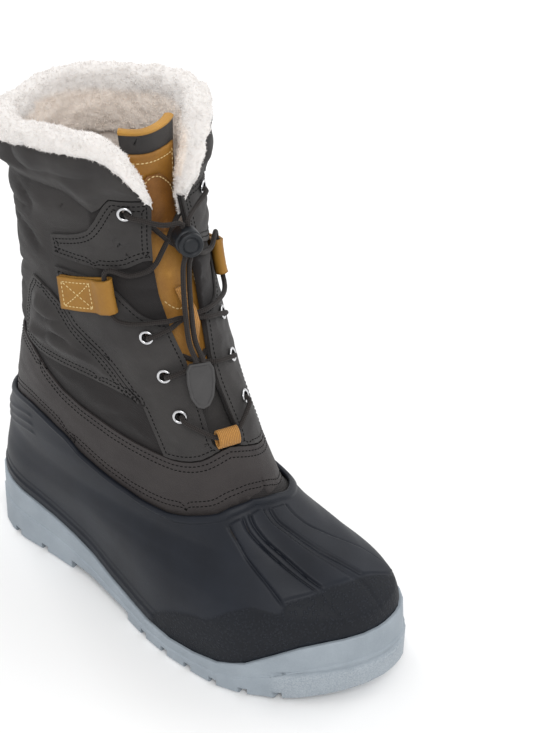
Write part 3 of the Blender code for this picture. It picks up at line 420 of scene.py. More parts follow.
LOCK = moulded("lock_plastic", shade((34, 37, 41)), shade((24, 26, 29)), 0.42)
TAB = moulded("tab_rubber", shade((74, 73, 73)), shade((60, 59, 59)), 0.62)
# painted shade: a near-black finish for the inside of the eyelets' holes, which are steel but lie in shade
HOLE_SHADE = moulded("eyelet_hole_shade", shade((16, 16, 17)), shade((10, 10, 10)), 0.7)


def thread(name, colour):
    """Sewing thread with a mottled twist."""
    graph = Graph(name, roughness=0.8, Specular_IOR_Level=0.2)
    twist = graph.noise(2600, 2.0)
    graph.feed("Base Color", graph.mix(twist, darker(colour, 0.6), colour))
    graph.feed("Normal", graph.bump(twist, 0.0001, 0.7))
    return graph.material


DARK_THREAD = thread("dark_thread", shade((9, 8, 8)))
CREAM_THREAD = thread("cream_thread", shade((232, 206, 150)))

paint = Graph("floor_paint", roughness=0.9)
paint.feed("Base Color", paint.mix(paint.noise(2, 2.0), (0.9, 0.9, 0.9), (0.92, 0.92, 0.92)))
floor.data.materials.append(paint.material)
print("finishes so far:", len(bpy.data.materials))

# %% [markdown]
# ## The boot's own form
#
# Stitches, laces and relief have to follow the boot's skin. So the lesson repeats the form
# that the solids were built on: rings by height, each an egg that turns into the sole's plan
# at the bottom. A spot on the boot is then three numbers: degrees from the middle of the
# throat, a level (0 at the floor, 1 at the rubber's rim, 2 at the collar), and a distance
# from the skin. All of it works on arrays, because thousands of points ask for it.

# %% Tables and the form
SOLE_LENGTH = 0.305
BALL_WIDTH = 0.113
SHELL_HEIGHT = 0.107
COLLAR_HEIGHT = 0.307
THROAT_ANGLE = 16.0


class Table:
    """Rows of named columns, read as smooth curves over the first column."""

    def __init__(self, columns, rows):
        self.names = columns.split()
        self.rows = np.array(rows, float)
        steps = np.diff(self.rows, axis=0)
        steps = steps[:, 1:] / steps[:, :1]
        product = steps[:-1] * steps[1:]
        total = steps[:-1] + steps[1:]
        inner = np.where(product > 0, 2 * product / np.where(total == 0, 1, total), 0.0)
        self.slopes = np.vstack([steps[:1], inner, steps[-1:]])

    def at(self, key):
        """Every column's values at the keys, as a dictionary of arrays."""
        key = np.asarray(key, float)
        keys = self.rows[:, 0]
        row = np.clip(np.searchsorted(keys, key, side="right") - 1, 0, len(keys) - 2)
        span = keys[row + 1] - keys[row]
        t = np.clip((key - keys[row]) / span, 0, 1)
        values = {}
        for column, name in enumerate(self.names[1:]):
            low, high = self.rows[row, column + 1], self.rows[row + 1, column + 1]
            bend = (1 - t) * self.slopes[row, column] - t * self.slopes[row + 1, column]
            between = (1 + 2 * t) * (1 - t) ** 2 * low + t * t * (3 - 2 * t) * high
            values[name] = between + span * t * (1 - t) * bend
        return values


RINGS = Table("level back front outer inner widest power last ridge", (
    (0.000, 0.0117, 0.9883, 0.513, 0.416, 0.695, 2.6, 0.00, 0.000),
    (0.260, 0.0117, 0.9883, 0.513, 0.416, 0.695, 2.6, 0.00, 0.000),
    (0.420, 0.0130, 0.9830, 0.504, 0.407, 0.689, 2.6, 0.12, -0.009),
    (0.560, 0.0145, 0.9720, 0.478, 0.381, 0.656, 2.5, 0.45, 0.009),
    (0.670, 0.0160, 0.9080, 0.442, 0.354, 0.607, 2.3, 0.80, 0.035),
    (0.785, 0.0180, 0.8200, 0.416, 0.354, 0.525, 2.2, 1.00, 0.053),
    (0.915, 0.0270, 0.7440, 0.416, 0.372, 0.443, 2.2, 1.00, 0.062),
    (1.045, 0.0460, 0.6920, 0.407, 0.381, 0.387, 2.2, 1.00, 0.062),
    (1.190, 0.0720, 0.6430, 0.407, 0.398, 0.344, 2.2, 1.00, 0.062),
    (1.415, 0.0980, 0.5770, 0.398, 0.398, 0.311, 2.2, 1.00, 0.062),
    (1.640, 0.1050, 0.5250, 0.403, 0.407, 0.295, 2.2, 1.00, 0.053),
    (1.865, 0.0850, 0.4980, 0.425, 0.434, 0.289, 2.2, 1.00, 0.044),
    (2.120, 0.0560, 0.4880, 0.451, 0.460, 0.285, 2.2, 1.00, 0.044),
))
PLAN = Table("share outer inner centre", (
    (0.00, 0.290, 0.300, 0.000),
    (0.18, 0.305, 0.320, 0.000),
    (0.30, 0.340, 0.292, 0.000),
    (0.42, 0.425, 0.265, 0.000),
    (0.60, 0.555, 0.332, 0.000),
    (0.72, 0.575, 0.363, -0.001),
    (0.86, 0.500, 0.385, -0.008),
    (1.00, 0.380, 0.340, -0.022),
))
HEEL_ROUND, TOE_ROUND, ROUND_POWER = 0.14, 0.27, 2.3
TURN_STEP, RISE_STEP = 0.004, 0.0005     # the skin's slope is read over these steps
RIM = Table("turn level", (
    (0, 1.015), (17, 1.000), (30, 0.963), (46, 0.925), (57, 0.897), (68, 0.880), (78, 0.888),
    (84, 0.920), (92, 0.981), (101, 1.035), (120, 1.060), (160, 1.010), (180, 1.005),
))


def height_of(level):
    """Height of a level."""
    level = np.asarray(level, float)
    above = SHELL_HEIGHT + (level - 1) * (COLLAR_HEIGHT - SHELL_HEIGHT)
    return np.where(level < 1, level * SHELL_HEIGHT, above)


def level_of(height):
    """The level at a height."""
    height = np.asarray(height, float)
    above = 1 + (height - SHELL_HEIGHT) / (COLLAR_HEIGHT - SHELL_HEIGHT)
    return np.where(height < SHELL_HEIGHT, height / SHELL_HEIGHT, above)


def rounded(share):
    """0 to 1 along a quarter of a superellipse."""
    return (1 - (1 - np.clip(share, 0, 1)) ** ROUND_POWER) ** (1 / ROUND_POWER)


def form(angle, height):
    """Points of the boot's skin at angles from the toe, in radians, and heights."""
    angle, height = np.broadcast_arrays(np.asarray(angle, float), np.asarray(height, float))
    ring = RINGS.at(level_of(height))
    cosine, sine = np.cos(angle), np.sin(angle)
    end = np.where(cosine > 0, ring["front"], ring["back"])
    station = ring["widest"] + (end - ring["widest"]) * np.abs(cosine) ** (2 / ring["power"])
    half = np.where(sine > 0, ring["outer"], ring["inner"])
    egg = np.sign(sine) * half * np.abs(sine) ** (2 / ring["power"])
    egg = egg + ring["ridge"] * np.maximum(cosine, 0) ** 2
    share = (station - ring["back"]) / (ring["front"] - ring["back"])
    plan = PLAN.at(share)
    ends = rounded(share / HEEL_ROUND) * rounded((1 - share) / TOE_ROUND)
    side = plan["centre"] + np.where(sine > 0, plan["outer"], -plan["inner"]) * ends
    across = side + (egg - side) * ring["last"]
    return np.stack([MIDDLE - across * BALL_WIDTH, SOLE_LENGTH / 2 - station * SOLE_LENGTH, height], -1)


def outward(angle, height):
    """The skin's normals."""
    along = form(angle + TURN_STEP, height) - form(angle - TURN_STEP, height)
    rise = form(angle, height + RISE_STEP) - form(angle, height - RISE_STEP)
    normal = np.cross(rise, along)
    return normal / np.linalg.norm(normal, axis=-1, keepdims=True)


def angle_of_turn(turn):
    """The angle at signed degrees from the throat's middle, + to the outer side."""
    turn = np.asarray(turn, float)
    lean = THROAT_ANGLE / 180
    inner = (-turn - THROAT_ANGLE) / np.where(-turn < THROAT_ANGLE, 1 + lean, 1 - lean)
    return np.radians(np.where(turn >= 0, (turn + THROAT_ANGLE) / (1 + lean), -inner))


def spot(turn, level, offset):
    """Points given by turns, levels and distances from the skin."""
    angle, height = np.broadcast_arrays(angle_of_turn(turn), height_of(level))
    return form(angle, height) + outward(angle, height) * np.asarray(offset, float)[..., None]


def angle_of(points):
    """The angles, in degrees from the toe, of points near the skin."""
    ring = RINGS.at(level_of(points[:, 2]))
    station = (SOLE_LENGTH / 2 - points[:, 1]) / SOLE_LENGTH
    ahead = station > ring["widest"]
    end = np.where(ahead, ring["front"], ring["back"])
    reach = np.clip((station - ring["widest"]) / (end - ring["widest"]), 0, 1) ** (ring["power"] / 2)
    angle = np.arccos(np.where(ahead, reach, -reach))
    middle = ring["ridge"] * ring["last"] * np.where(ahead, reach, 0) ** 2
    side = (MIDDLE - points[:, 0]) / BALL_WIDTH - middle
    return np.degrees(angle) * np.where(side >= 0, 1, -1)


def turn_of(angle):
    """Signed degrees from the throat's middle at angles in degrees."""
    return angle - THROAT_ANGLE * (1 - np.abs(angle) / 180)


def turns_of(points):
    """Degrees from the throat's middle, to either side, of points near the skin."""
    return np.abs(turn_of(angle_of(points)))


def skin_at(points):
    """The skin's normals next to points."""
    return outward(np.radians(angle_of(points)), points[:, 2])


print("ball of the foot:", np.round(form(math.radians(90), 0.03) / MM, 1), "mm")

# %% [markdown]
# ## Working on the solids' copies
#
# A solid from the frame is a bag of loose triangles. A copy is merged first, then its long
# edges are halved until the points lie a few millimetres apart. Flat facets turn into a
# smooth skin by moving each point towards its neighbours' middle, again and again, while
# points on a sharp edge stay. That is the same as the smooth brush, only for all at once.

# %% Helpers for copies
MERGE_DISTANCE = 1e-5
HALVINGS = 6
RIDGE_POWER = 4              # the higher, the narrower a ridge of the noise
BORDERS_ONLY = 179           # degrees; no edge is sharper, so only border points stay
NEARLY_FLAT = 0.05           # radians; across such an edge two triangles may swap it
SHAFT_CENTRE_Y, SHAFT_RADIUS = 0.05, 0.048


def only(thing):
    """Select one object alone and make it active."""
    bpy.ops.object.select_all(action="DESELECT")
    thing.select_set(True)
    bpy.context.view_layer.objects.active = thing


def applied(thing, kind, **settings):
    """Add a modifier and apply it."""
    only(thing)
    modifier = thing.modifiers.new(kind.lower(), kind)
    for key, value in settings.items():
        setattr(modifier, key, value)
    bpy.ops.object.modifier_apply(modifier=modifier.name)


def copy_of(node, name):
    """A merged copy of a CAD solid."""
    data = nodes[node].data.copy()
    data.materials.clear()
    thing = linked(name, data)
    mesh = bmesh.new()
    mesh.from_mesh(data)
    bmesh.ops.remove_doubles(mesh, verts=mesh.verts, dist=MERGE_DISTANCE)
    mesh.to_mesh(data)
    mesh.free()
    return thing


def refine(thing, longest, where=None):
    """Halve edges until none is longer than the given length, all over or where a test holds."""
    mesh = bmesh.new()
    mesh.from_mesh(thing.data)
    bmesh.ops.triangulate(mesh, faces=mesh.faces)
    for _ in range(HALVINGS):
        edges = [edge for edge in mesh.edges
                 if edge.calc_length() > longest and (where is None or where(edge))]
        if not edges:
            break
        bmesh.ops.subdivide_edges(mesh, edges=edges, cuts=1, use_grid_fill=False)
        bmesh.ops.triangulate(mesh, faces=[face for face in mesh.faces if len(face.verts) > 3])
        mesh.normal_update()
    flat = [edge for edge in mesh.edges
            if not edge.is_boundary and edge.calc_face_angle(0) < NEARLY_FLAT]
    bmesh.ops.beautify_fill(mesh, faces=mesh.faces, edges=flat)
    mesh.to_mesh(thing.data)
    mesh.free()
    thing.data.validate()


def points_of(thing):
    """The piece's points as an array."""
    spots = np.empty(len(thing.data.vertices) * 3)
    thing.data.vertices.foreach_get("co", spots)
    return spots.reshape(-1, 3)


def put(thing, spots):
    """Write the points back."""
    thing.data.vertices.foreach_set("co", np.ascontiguousarray(spots, dtype=np.float32).ravel())
    thing.data.update()


def normals_of(thing):
    """The points' normals as an array."""
    values = np.empty(len(thing.data.vertices) * 3)
    thing.data.vertices.foreach_get("normal", values)
    return values.reshape(-1, 3)


def sharp_points(thing, degrees):
    """True for points on a border or on an edge sharper than an angle."""
    mesh = bmesh.new()
    mesh.from_mesh(thing.data)
    held = np.zeros(len(mesh.verts), bool)
    for edge in mesh.edges:
        if edge.is_boundary or edge.calc_face_angle(0) > math.radians(degrees):
            for vert in edge.verts:
                held[vert.index] = True
    mesh.free()
    return held


def relax(thing, rounds, degrees=40):
    """Even the surface out; points on sharp edges stay."""
    held = sharp_points(thing, degrees)
    edges = np.empty(len(thing.data.edges) * 2, int)
    thing.data.edges.foreach_get("vertices", edges)
    a, b = edges.reshape(-1, 2).T
    spots = points_of(thing)
    count = np.bincount(a, minlength=len(spots)) + np.bincount(b, minlength=len(spots))
    for _ in range(rounds):
        total = np.stack([np.bincount(a, spots[b, axis], len(spots))
                          + np.bincount(b, spots[a, axis], len(spots)) for axis in range(3)], -1)
        middle = total / np.maximum(count, 1)[:, None]
        spots = np.where(held[:, None], spots, spots + 0.5 * (middle - spots))
    put(thing, spots)


def corner_points(thing):
    """The point number at each corner of each face."""
    numbers = np.empty(len(thing.data.loops), int)
    thing.data.loops.foreach_get("vertex_index", numbers)
    return numbers


def wrap_uv(thing):
    """Triangles, and a UV map in metres: round the shaft, and up it."""
    triangles(thing)
    layer = thing.data.uv_layers.new(name="wrap")
    spots = points_of(thing)
    turn = np.arctan2(spots[:, 0] - MIDDLE, -(spots[:, 1] - SHAFT_CENTRE_Y)) * SHAFT_RADIUS
    corners = corner_points(thing)
    values = np.stack([turn[corners], spots[corners, 2]], -1).reshape(-1, 3, 2)
    round_way = values[:, :, 0]
    seam = round_way.max(1) - round_way.min(1) > math.pi * SHAFT_RADIUS
    round_way[seam] += (round_way[seam] < 0) * 2 * math.pi * SHAFT_RADIUS
    layer.data.foreach_set("uv", values.reshape(-1))


def triangles(thing):
    """Turn the piece into triangles."""
    mesh = bmesh.new()
    mesh.from_mesh(thing.data)
    bmesh.ops.triangulate(mesh, faces=mesh.faces)
    mesh.to_mesh(thing.data)
    mesh.free()


def flag(thing, name, values):
    """Store a number per point for the material."""
    layer = thing.data.attributes.new(name, "FLOAT", "POINT")
    layer.data.foreach_set("value", np.asarray(values, np.float32))


def smoothstep(value):
    """0 to 1 with soft ends."""
    value = np.clip(value, 0, 1)
    return value * value * (3 - 2 * value)


def noise_at(spots, seed, lumps):
    """Smooth noise between -1 and 1 at points; lumps per metre, alike or for each axis."""
    shift = Vector((seed, seed * 1.7, -seed))
    return np.array([noise.noise(Vector(place) + shift) for place in spots * np.array(lumps)])


def layered(spots, layers):
    """The sum of several noises: rows of height, seed and lumps per metre."""
    return sum(noise_at(spots, seed, lumps) * height for height, seed, lumps in layers)


def ridged(spots, seed, lumps):
    """Noise with narrow ridges, 0 to 1."""
    return (1 - np.abs(noise_at(spots, seed, lumps))) ** RIDGE_POWER


def nearest_of(others):
    """A search tree over points."""
    tree = KDTree(len(others))
    for index, place in enumerate(others):
        tree.insert(place, index)
    tree.balance()
    return tree


def nearest_distance(spots, others):
    """Distance of each point to the nearest of the others."""
    tree = nearest_of(others)
    return np.array([tree.find(place)[2] for place in spots])


def dress(thing, material, slot, *replaced, angle=40):
    """Give a piece its finish, its body and the solids it stands for; the slot is not used."""
    thing.data.materials.clear()
    thing.data.materials.append(material)
    only(thing)
    bpy.ops.object.shade_smooth_by_angle(angle=math.radians(angle))
    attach(thing, "root")
    if replaced:
        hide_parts(*replaced)
    print(thing.name, len(thing.data.polygons), "faces")
    return thing


# %% [markdown]
# ## The rubber lower
#
# One moulding with a rolled rim, a fan of ribs over the instep, a toe cap with a raised
# edge, and a band along the sole. All of that is low relief on one wall. The wall follows
# the boot's form exactly, so it is drawn anew as a fine grid: columns go round the boot, and
# each column's rows run from the sole's floor up the outside, over the rim and down inside.

# %% Lines of the rubber lower
SHELL_WALL = 0.0025
TOE_SPRING = 0.014
SPRING_START = 0.74
SOLE_LINE = Table("share top floor", (
    (0.00, 0.420, 0.230), (0.15, 0.355, 0.225), (0.30, 0.250, 0.170), (0.45, 0.160, 0.105),
    (0.60, 0.130, 0.092), (0.75, 0.185, 0.092), (0.82, 0.300, 0.092), (0.90, 0.415, 0.100),
    (1.00, 0.475, 0.112),
))
FAN = tuple(Table("height angle", rows) for rows in (
    ((0.060, 54), (0.0665, 53.5), (0.073, 52.5), (0.079, 51.5), (0.083, 50), (0.089, 46),
     (0.0935, 43.5), (0.102, 39)),
    ((0.040, 33), (0.061, 30.5), (0.067, 29), (0.0725, 28.5), (0.077, 30.5), (0.0825, 32),
     (0.0885, 32.5), (0.094, 32), (0.104, 27)),
    ((0.060, 23), (0.073, 23.5), (0.0775, 25), (0.085, 25.5), (0.091, 26.5), (0.0975, 25.5),
     (0.106, 21)),
    ((0.040, 7), (0.0615, 5), (0.0705, 0.5), (0.0735, 1.5), (0.078, 3), (0.0855, 6.5),
     (0.0925, 9), (0.0985, 11.5), (0.107, 10)),
    ((0.060, -6), (0.0735, -3), (0.0835, 2), (0.0915, 5.5), (0.098, 8), (0.107, 5)),
    ((0.060, -33), (0.070, -32), (0.076, -26.5), (0.0835, -17), (0.0915, -7.5), (0.0975, -5.5),
     (0.107, -6.5)),
))
ACROSS_CAP = (1, 3)          # these grooves of the fan run on over the toe cap
RIBS = ((0, 1), (2, 3), (4, 5))          # each rib lies between two grooves
TOE_EDGE = Table("angle height", (
    (-90, 0.040), (-60, 0.052), (-32, 0.060), (-7, 0.070), (5, 0.0725), (18, 0.0735),
    (30, 0.072), (50, 0.0685), (60, 0.0635), (68, 0.0640), (75, 0.0615), (85, 0.0535),
    (92, 0.042), (98, 0.024),
))
GIRTH = 0.00068              # metres round the vamp per degree
BEAD_HEIGHT, BEAD_RISE, SOFT_EDGE = 0.0038, 0.0012, 0.0010
RIB_TOP = 0.0052             # the ribs start this far below the rim
RIB_RISE, RIB_SLOPE = 0.0011, 0.0016
GROOVE_DEPTH, GROOVE_WIDTH, GROOVE_ON_CAP = 0.0009, 0.0008, 0.6
GROOVE_END, GROOVE_FADE = 0.004, 0.012   # over the sole's edge, where a groove on the cap ends
CAP_FROM, CAP_TO, CAP_RISE, CAP_SLOPE = -88, 98, 0.0005, 0.0012
BANDS = ((0.0009, 0.0085, 0.0014), (0.0004, 0.0130, 0.0012))     # rise, top, slope
HEEL_FROM, HEEL_TO, HEEL_MIDDLE, HEEL_FADE = 122, 172, 147, 4    # degrees from the throat
HEEL_STEPS, HEEL_SLANT = (0.013, 0.019, 0.025), 0.00012
HEEL_RISE, HEEL_WIDTH = 0.0008, 0.0013
SOLE_FADE, CAP_FADE = 0.002, 0.003       # over the sole's edge, where the relief fades in
print("grooves in the fan:", len(FAN), "and ribs:", len(RIBS))


def sole_heights(angle):
    """Heights of the sole's floor and of its side's top edge at angles in radians."""
    station = SOLE_LENGTH / 2 - form(angle, 0.0)[..., 1]
    line = SOLE_LINE.at(station / SOLE_LENGTH)
    start = SPRING_START * SOLE_LENGTH
    spring = TOE_SPRING * np.maximum(0, (station - start) / (SOLE_LENGTH - start)) ** 2
    return line["floor"] * SHELL_HEIGHT + spring, line["top"] * SHELL_HEIGHT


def bump_at(distance, width):
    """A soft ridge round distance 0."""
    return np.exp(-(distance / width) ** 2)


def shell_relief(angles, heights, rim, sole_top):
    """Rise of the mould's relief, and how far a point lies on the toe cap."""
    below, above = rim - heights, heights - sole_top
    rise = BEAD_RISE * smoothstep((BEAD_HEIGHT - below) / SOFT_EDGE)
    edge = TOE_EDGE.at(angles)["height"]
    cap = smoothstep((edge - heights) / CAP_SLOPE) * ((angles > CAP_FROM) & (angles < CAP_TO))
    vamp = smoothstep((below - RIB_TOP) / SOFT_EDGE)
    inside = smoothstep((heights - edge) / CAP_SLOPE) * vamp
    lines = [groove.at(heights)["angle"] for groove in FAN]
    on_cap = (1 - inside) * GROOVE_ON_CAP * smoothstep((above - GROOVE_END) / GROOVE_FADE)
    for number, line in enumerate(lines):
        depth = inside + on_cap * (number in ACROSS_CAP)
        rise = rise - GROOVE_DEPTH * vamp * depth * bump_at((angles - line) * GIRTH, GROOVE_WIDTH)
    for far, near in RIBS:
        flat = (smoothstep((lines[far] - angles) * GIRTH / RIB_SLOPE)
                * smoothstep((angles - lines[near]) * GIRTH / RIB_SLOPE))
        rise = rise + RIB_RISE * inside * flat
    band = sum(height * smoothstep((top - above) / slope) for height, top, slope in BANDS)
    rise = rise + CAP_RISE * cap + (1 - cap) * band
    turns = np.abs(turn_of(angles))
    heel = smoothstep((turns - HEEL_FROM) / HEEL_FADE) * smoothstep((HEEL_TO - turns) / HEEL_FADE)
    for step in HEEL_STEPS:
        slanted = below - step - (turns - HEEL_MIDDLE) * HEEL_SLANT
        rise = rise + HEEL_RISE * heel * bump_at(slanted, HEEL_WIDTH)
    return rise * smoothstep(above / SOLE_FADE), cap * smoothstep(above / CAP_FADE)


def grid_mesh(name, points, closed=False, uv=None):
    """A mesh from a block of points: columns, rows and coordinates; closed both ways or open."""
    columns, rows = points.shape[:2]
    numbers = np.arange(columns * rows).reshape(columns, rows)
    if closed:
        numbers = np.vstack([numbers, numbers[:1]])
        numbers = np.hstack([numbers, numbers[:, :1]])
    corners = (numbers[:-1, :-1], numbers[1:, :-1], numbers[1:, 1:], numbers[:-1, 1:])
    faces = np.stack(corners, -1).reshape(-1, 4)
    data = bpy.data.meshes.new(name)
    data.from_pydata(points.reshape(-1, 3).tolist(), [], faces.tolist())
    if uv is not None:
        data.uv_layers.new(name="wrap").data.foreach_set("uv", uv.reshape(-1, 2)[faces].ravel())
    return linked(name, data)


# %% The rubber shell
FINE_FROM, FINE_TO, FINE_STEP = -62, 106, 0.5   # the columns lie close where the fan is
ROLL_HEIGHT = 0.0018         # the rim's roll starts this far below its top
UNDER_ROWS, SIDE_ROWS, ROLL_ROWS, BACK_ROWS = 4, 118, 9, 16

front = np.arange(FINE_FROM, FINE_TO, FINE_STEP)
angles = np.concatenate([front, np.arange(FINE_TO, FINE_FROM + 360, 1.0)])
angles = np.where(angles > 180, angles - 360, angles)
turn = np.radians(angles)[:, None]
floor_line, sole_top = (line[:, None] for line in sole_heights(turn[:, 0]))
rim = height_of(RIM.at(np.abs(turn_of(angles)))["level"])[:, None]
low = floor_line + np.linspace(0, 1, UNDER_ROWS)[None, :-1] * (sole_top - floor_line)
high = sole_top + np.linspace(0, 1, SIDE_ROWS)[None] * (rim - ROLL_HEIGHT - sole_top)
heights = np.hstack([low, high])
rise, cap = shell_relief(angles[:, None], heights, rim, sole_top)
outer = form(turn, heights) + outward(turn, heights) * rise[..., None]
swing = np.radians(np.linspace(0, 180, ROLL_ROWS))[None, 1:-1]
half = (SHELL_WALL + BEAD_RISE) / 2
over_height = rim - ROLL_HEIGHT + ROLL_HEIGHT * np.sin(swing)
over_rise = BEAD_RISE - half + half * np.cos(swing)
over = form(turn, over_height) + outward(turn, over_height) * over_rise[..., None]
deep = rim - ROLL_HEIGHT + np.linspace(0, 1, BACK_ROWS)[None] * (floor_line - rim + ROLL_HEIGHT)
inner = form(turn, deep) - outward(turn, deep) * SHELL_WALL
block = np.concatenate([outer, over, inner], 1)
shell = grid_mesh("shell", block, closed=True)
rest = np.zeros((len(angles), block.shape[1] - cap.shape[1]))
flag(shell, "toe", np.hstack([cap, rest]).ravel())
dress(shell, RUBBER, "shell", "rubber_shell", angle=60)

# %% [markdown]
# The sole's edges were cut dead sharp. A narrow bevel catches the light on every lug, and
# the toe bumper keeps a scuffed, paler field, set by a flag on its points.

# %% The sole and the insole
BUMPER_LINE = Table("across height", (
    (-0.060, 0.0190), (-0.030, 0.0250), (0.0, 0.0290), (0.030, 0.0300), (0.055, 0.0290),
))
BUMPER_Y, TREAD_TOP = -0.098, 0.009
BUMPER_GROOVE, BUMPER_RISE = 0.0012, 0.0009


def on_bumper(edge):
    """True for an edge on the bumper's upright side."""
    ahead = all(vert.co.y < BUMPER_Y and vert.co.z > TREAD_TOP for vert in edge.verts)
    return ahead and all(abs(face.normal.z) < 0.6 for face in edge.link_faces)


sole = copy_of("outsole", "sole")
applied(sole, "BEVEL", width=0.0007, segments=2, limit_method="ANGLE", angle_limit=math.radians(32))
refine(sole, 0.0060)
refine(sole, 0.0016, on_bumper)
spots = points_of(sole)
lie = normals_of(sole)
toe_share = smoothstep((BUMPER_Y - spots[:, 1]) / 0.010)
under_line = BUMPER_LINE.at(spots[:, 0])["height"] - spots[:, 2]
relief = (BUMPER_RISE * smoothstep((under_line - 0.001) / 0.0015)
          - BUMPER_GROOVE * bump_at(under_line, 0.0012))
upright = smoothstep((1 - np.abs(lie[:, 2])) / 0.5)
put(sole, spots + lie * (relief * toe_share * upright)[:, None])
flag(sole, "scuff", toe_share * smoothstep(under_line / 0.002))
dress(sole, SOLE, "sole", "outsole", angle=35)

insole = copy_of("insole", "foot_bed")
refine(insole, 0.008)
flag(insole, "inside", np.ones(len(insole.data.vertices)))
dress(insole, LINING, "insole", "insole")

# %% [markdown]
# ## The padded shaft
#
# The shaft is one wall. Between the sewn panels its own cloth swells a little, because the
# padding is free there, and it creases, more round the shaft than up it. Distance to the
# nearest panel decides how far a point may swell.

# %% The shaft
FILLS = {"rand": 0.0006, "cuff": 0.0052, "quarter_outer": 0.0046, "quarter_inner": 0.0046,
         "eyestay_outer": 0.0010, "eyestay_inner": 0.0010, "flap_outer": 0.0016, "flap_inner": 0.0016}
FACES_OUT = 0.55             # a panel's face that looks outwards less than this is left out
SHEET_EDGE, SHAFT_EDGE = 0.0024, 0.0034
FREE_FROM, FREE_OVER, FREE_SWELL = 0.0025, 0.012, 0.0032     # how the free cloth swells
CREASE_DEPTH = 0.0030
CREASES = ((0.0010, 3.0, (34, 34, 95)), (0.0004, 9.0, (90, 90, 160)))
OUTSIDE_FROM, INSIDE_FROM, INSIDE_FADE = 0.4, -0.45, 0.15    # how far a face looks outwards
THROAT_SHADE_TURN, THROAT_SHADE_FADE = 40, 6         # degrees from the throat; nearer to it the lining keeps the dark cloth colour, a painted shade for the shadowed gap


def panel_sheet(node, name):
    """The outer face of a panel's solid, as an open sheet with many points."""
    thing = copy_of(node, name)
    mesh = bmesh.new()
    mesh.from_mesh(thing.data)
    mesh.normal_update()
    spots = np.array([face.calc_center_median() for face in mesh.faces])
    inner = [face for face, out in zip(mesh.faces, skin_at(spots))
             if face.normal.dot(Vector(out)) < FACES_OUT]
    bmesh.ops.delete(mesh, geom=inner, context="FACES")
    mesh.to_mesh(thing.data)
    mesh.free()
    refine(thing, SHEET_EDGE)
    relax(thing, 22, BORDERS_ONLY)
    return thing


sheets = {name: panel_sheet(name, f"{name}_panel") for name in FILLS}
footprint = np.vstack([points_of(sheet) for sheet in sheets.values()])

shaft = copy_of("upper", "shaft")
refine(shaft, SHAFT_EDGE)
relax(shaft, 16)
spots = points_of(shaft)
lie = skin_at(spots)
facing = (normals_of(shaft) * lie).sum(1)
gap = nearest_distance(spots, footprint)
swell = smoothstep((gap - FREE_FROM) / FREE_OVER) * (facing > OUTSIDE_FROM)
crease = layered(spots, CREASES) - CREASE_DEPTH * ridged(spots, 17.0, (22, 22, 64))
put(shaft, spots + lie * (swell * (FREE_SWELL + crease))[:, None])
turns = turns_of(spots)
# painted shade: near the throat the inside flag is held down, so the lining there takes the dark cloth
# colour of the shadowed gap
outside_throat_shade = smoothstep((turns - THROAT_SHADE_TURN) / THROAT_SHADE_FADE)
flag(shaft, "inside", smoothstep((INSIDE_FROM - facing) / INSIDE_FADE) * outside_throat_shade)
wrap_uv(shaft)
print("points of the shaft:", len(spots))

# %% [markdown]
# The shaft's cloth is dark between the rand and the quarter, in the notch by the side loop
# and on the mesh panel at the back, so its material blends two tones of one weave and,
# inside, the lining, by flags. Near the throat the lining is held back, and the dark cloth
# colour there is painted shade for the shadowed gap.

# %% The shaft's finish
NOTCH_TURN, NOTCH_HEIGHT = 62, 0.205
MESH_TURN, MESH_HEIGHT, MESH_TONE = 96, 0.232, 0.6
LOW_CLOTH_TOP, EDGE_FADE = 0.172, 0.004

mixed = Graph("shaft_mixed", roughness=0.8, Sheen_Weight=0.06, Specular_IOR_Level=0.3)
weave = mixed.weave(SHAFT_YARN)
patchy = mixed.noise(38, 4.0)
lumpy = mixed.noise(420, 4.0)
cloth_tone = mixed.mix(patchy, shade((45, 43, 43)), shade((61, 59, 58)))
dark_tone = mixed.mix(patchy, shade((31, 29, 29)), shade((42, 39, 39)))
cloth = mixed.mix(mixed.flag("dark"), cloth_tone, dark_tone)
inside = mixed.mix(lumpy, shade((206, 195, 186)), shade((238, 227, 218)))
mixed.feed("Base Color", mixed.mix(mixed.flag("inside"), cloth, inside))
under = mixed.bump(lumpy * mixed.flag("inside"), 0.002, 0.8)
mixed.feed("Normal", mixed.bump(weave * (1 - mixed.flag("inside")) + patchy, 0.00014, 0.6, under))
heights = spots[:, 2]
low_band = smoothstep((LOW_CLOTH_TOP - heights) / EDGE_FADE)
notch = smoothstep((NOTCH_TURN - turns) / 3) * smoothstep((heights - NOTCH_HEIGHT) / EDGE_FADE)
rear_mesh = smoothstep((turns - MESH_TURN) / 4) * smoothstep((heights - MESH_HEIGHT) / EDGE_FADE)
flag(shaft, "dark", np.clip(low_band + notch + rear_mesh * MESH_TONE, 0, 1))
dress(shaft, mixed.material, "cloth", "upper")

# %% [markdown]
# ## The sewn panels
#
# Each panel is cut from cloth over thin foam, so it is flat where it is sewn down and full
# in its middle. The distance to the panel's border gives the fullness, a little noise gives
# the pull of the seams, ridged noise the folds, and Solidify the cut edge's thickness.

# %% Fill the panels
def borders(thing):
    """The piece's border loops: lists of place, normal and inward direction."""
    mesh = bmesh.new()
    mesh.from_mesh(thing.data)
    mesh.normal_update()
    loops, left = [], [edge for edge in mesh.edges if edge.is_boundary]
    while left:
        edge = left.pop()
        first, vert = edge.verts
        chain = [(edge, first)]
        while vert is not first:
            following = [other for other in vert.link_edges if other in left]
            if not following:
                break
            edge = following[0]
            left.remove(edge)
            chain.append((edge, vert))
            vert = edge.other_vert(vert)
        loop = []
        for edge, vert in chain:
            face = edge.link_faces[0]
            middle = (edge.verts[0].co + edge.verts[1].co) / 2
            along = (edge.other_vert(vert).co - vert.co).normalized()
            inward = face.normal.cross(along)
            if inward.dot(face.calc_center_median() - middle) < 0:
                inward.negate()
            loop.append((middle.copy(), face.normal.copy(), inward.normalized()))
        loops.append(loop)
    mesh.free()
    return [loop for loop in loops if len(loop) > SHORTEST_LOOP]


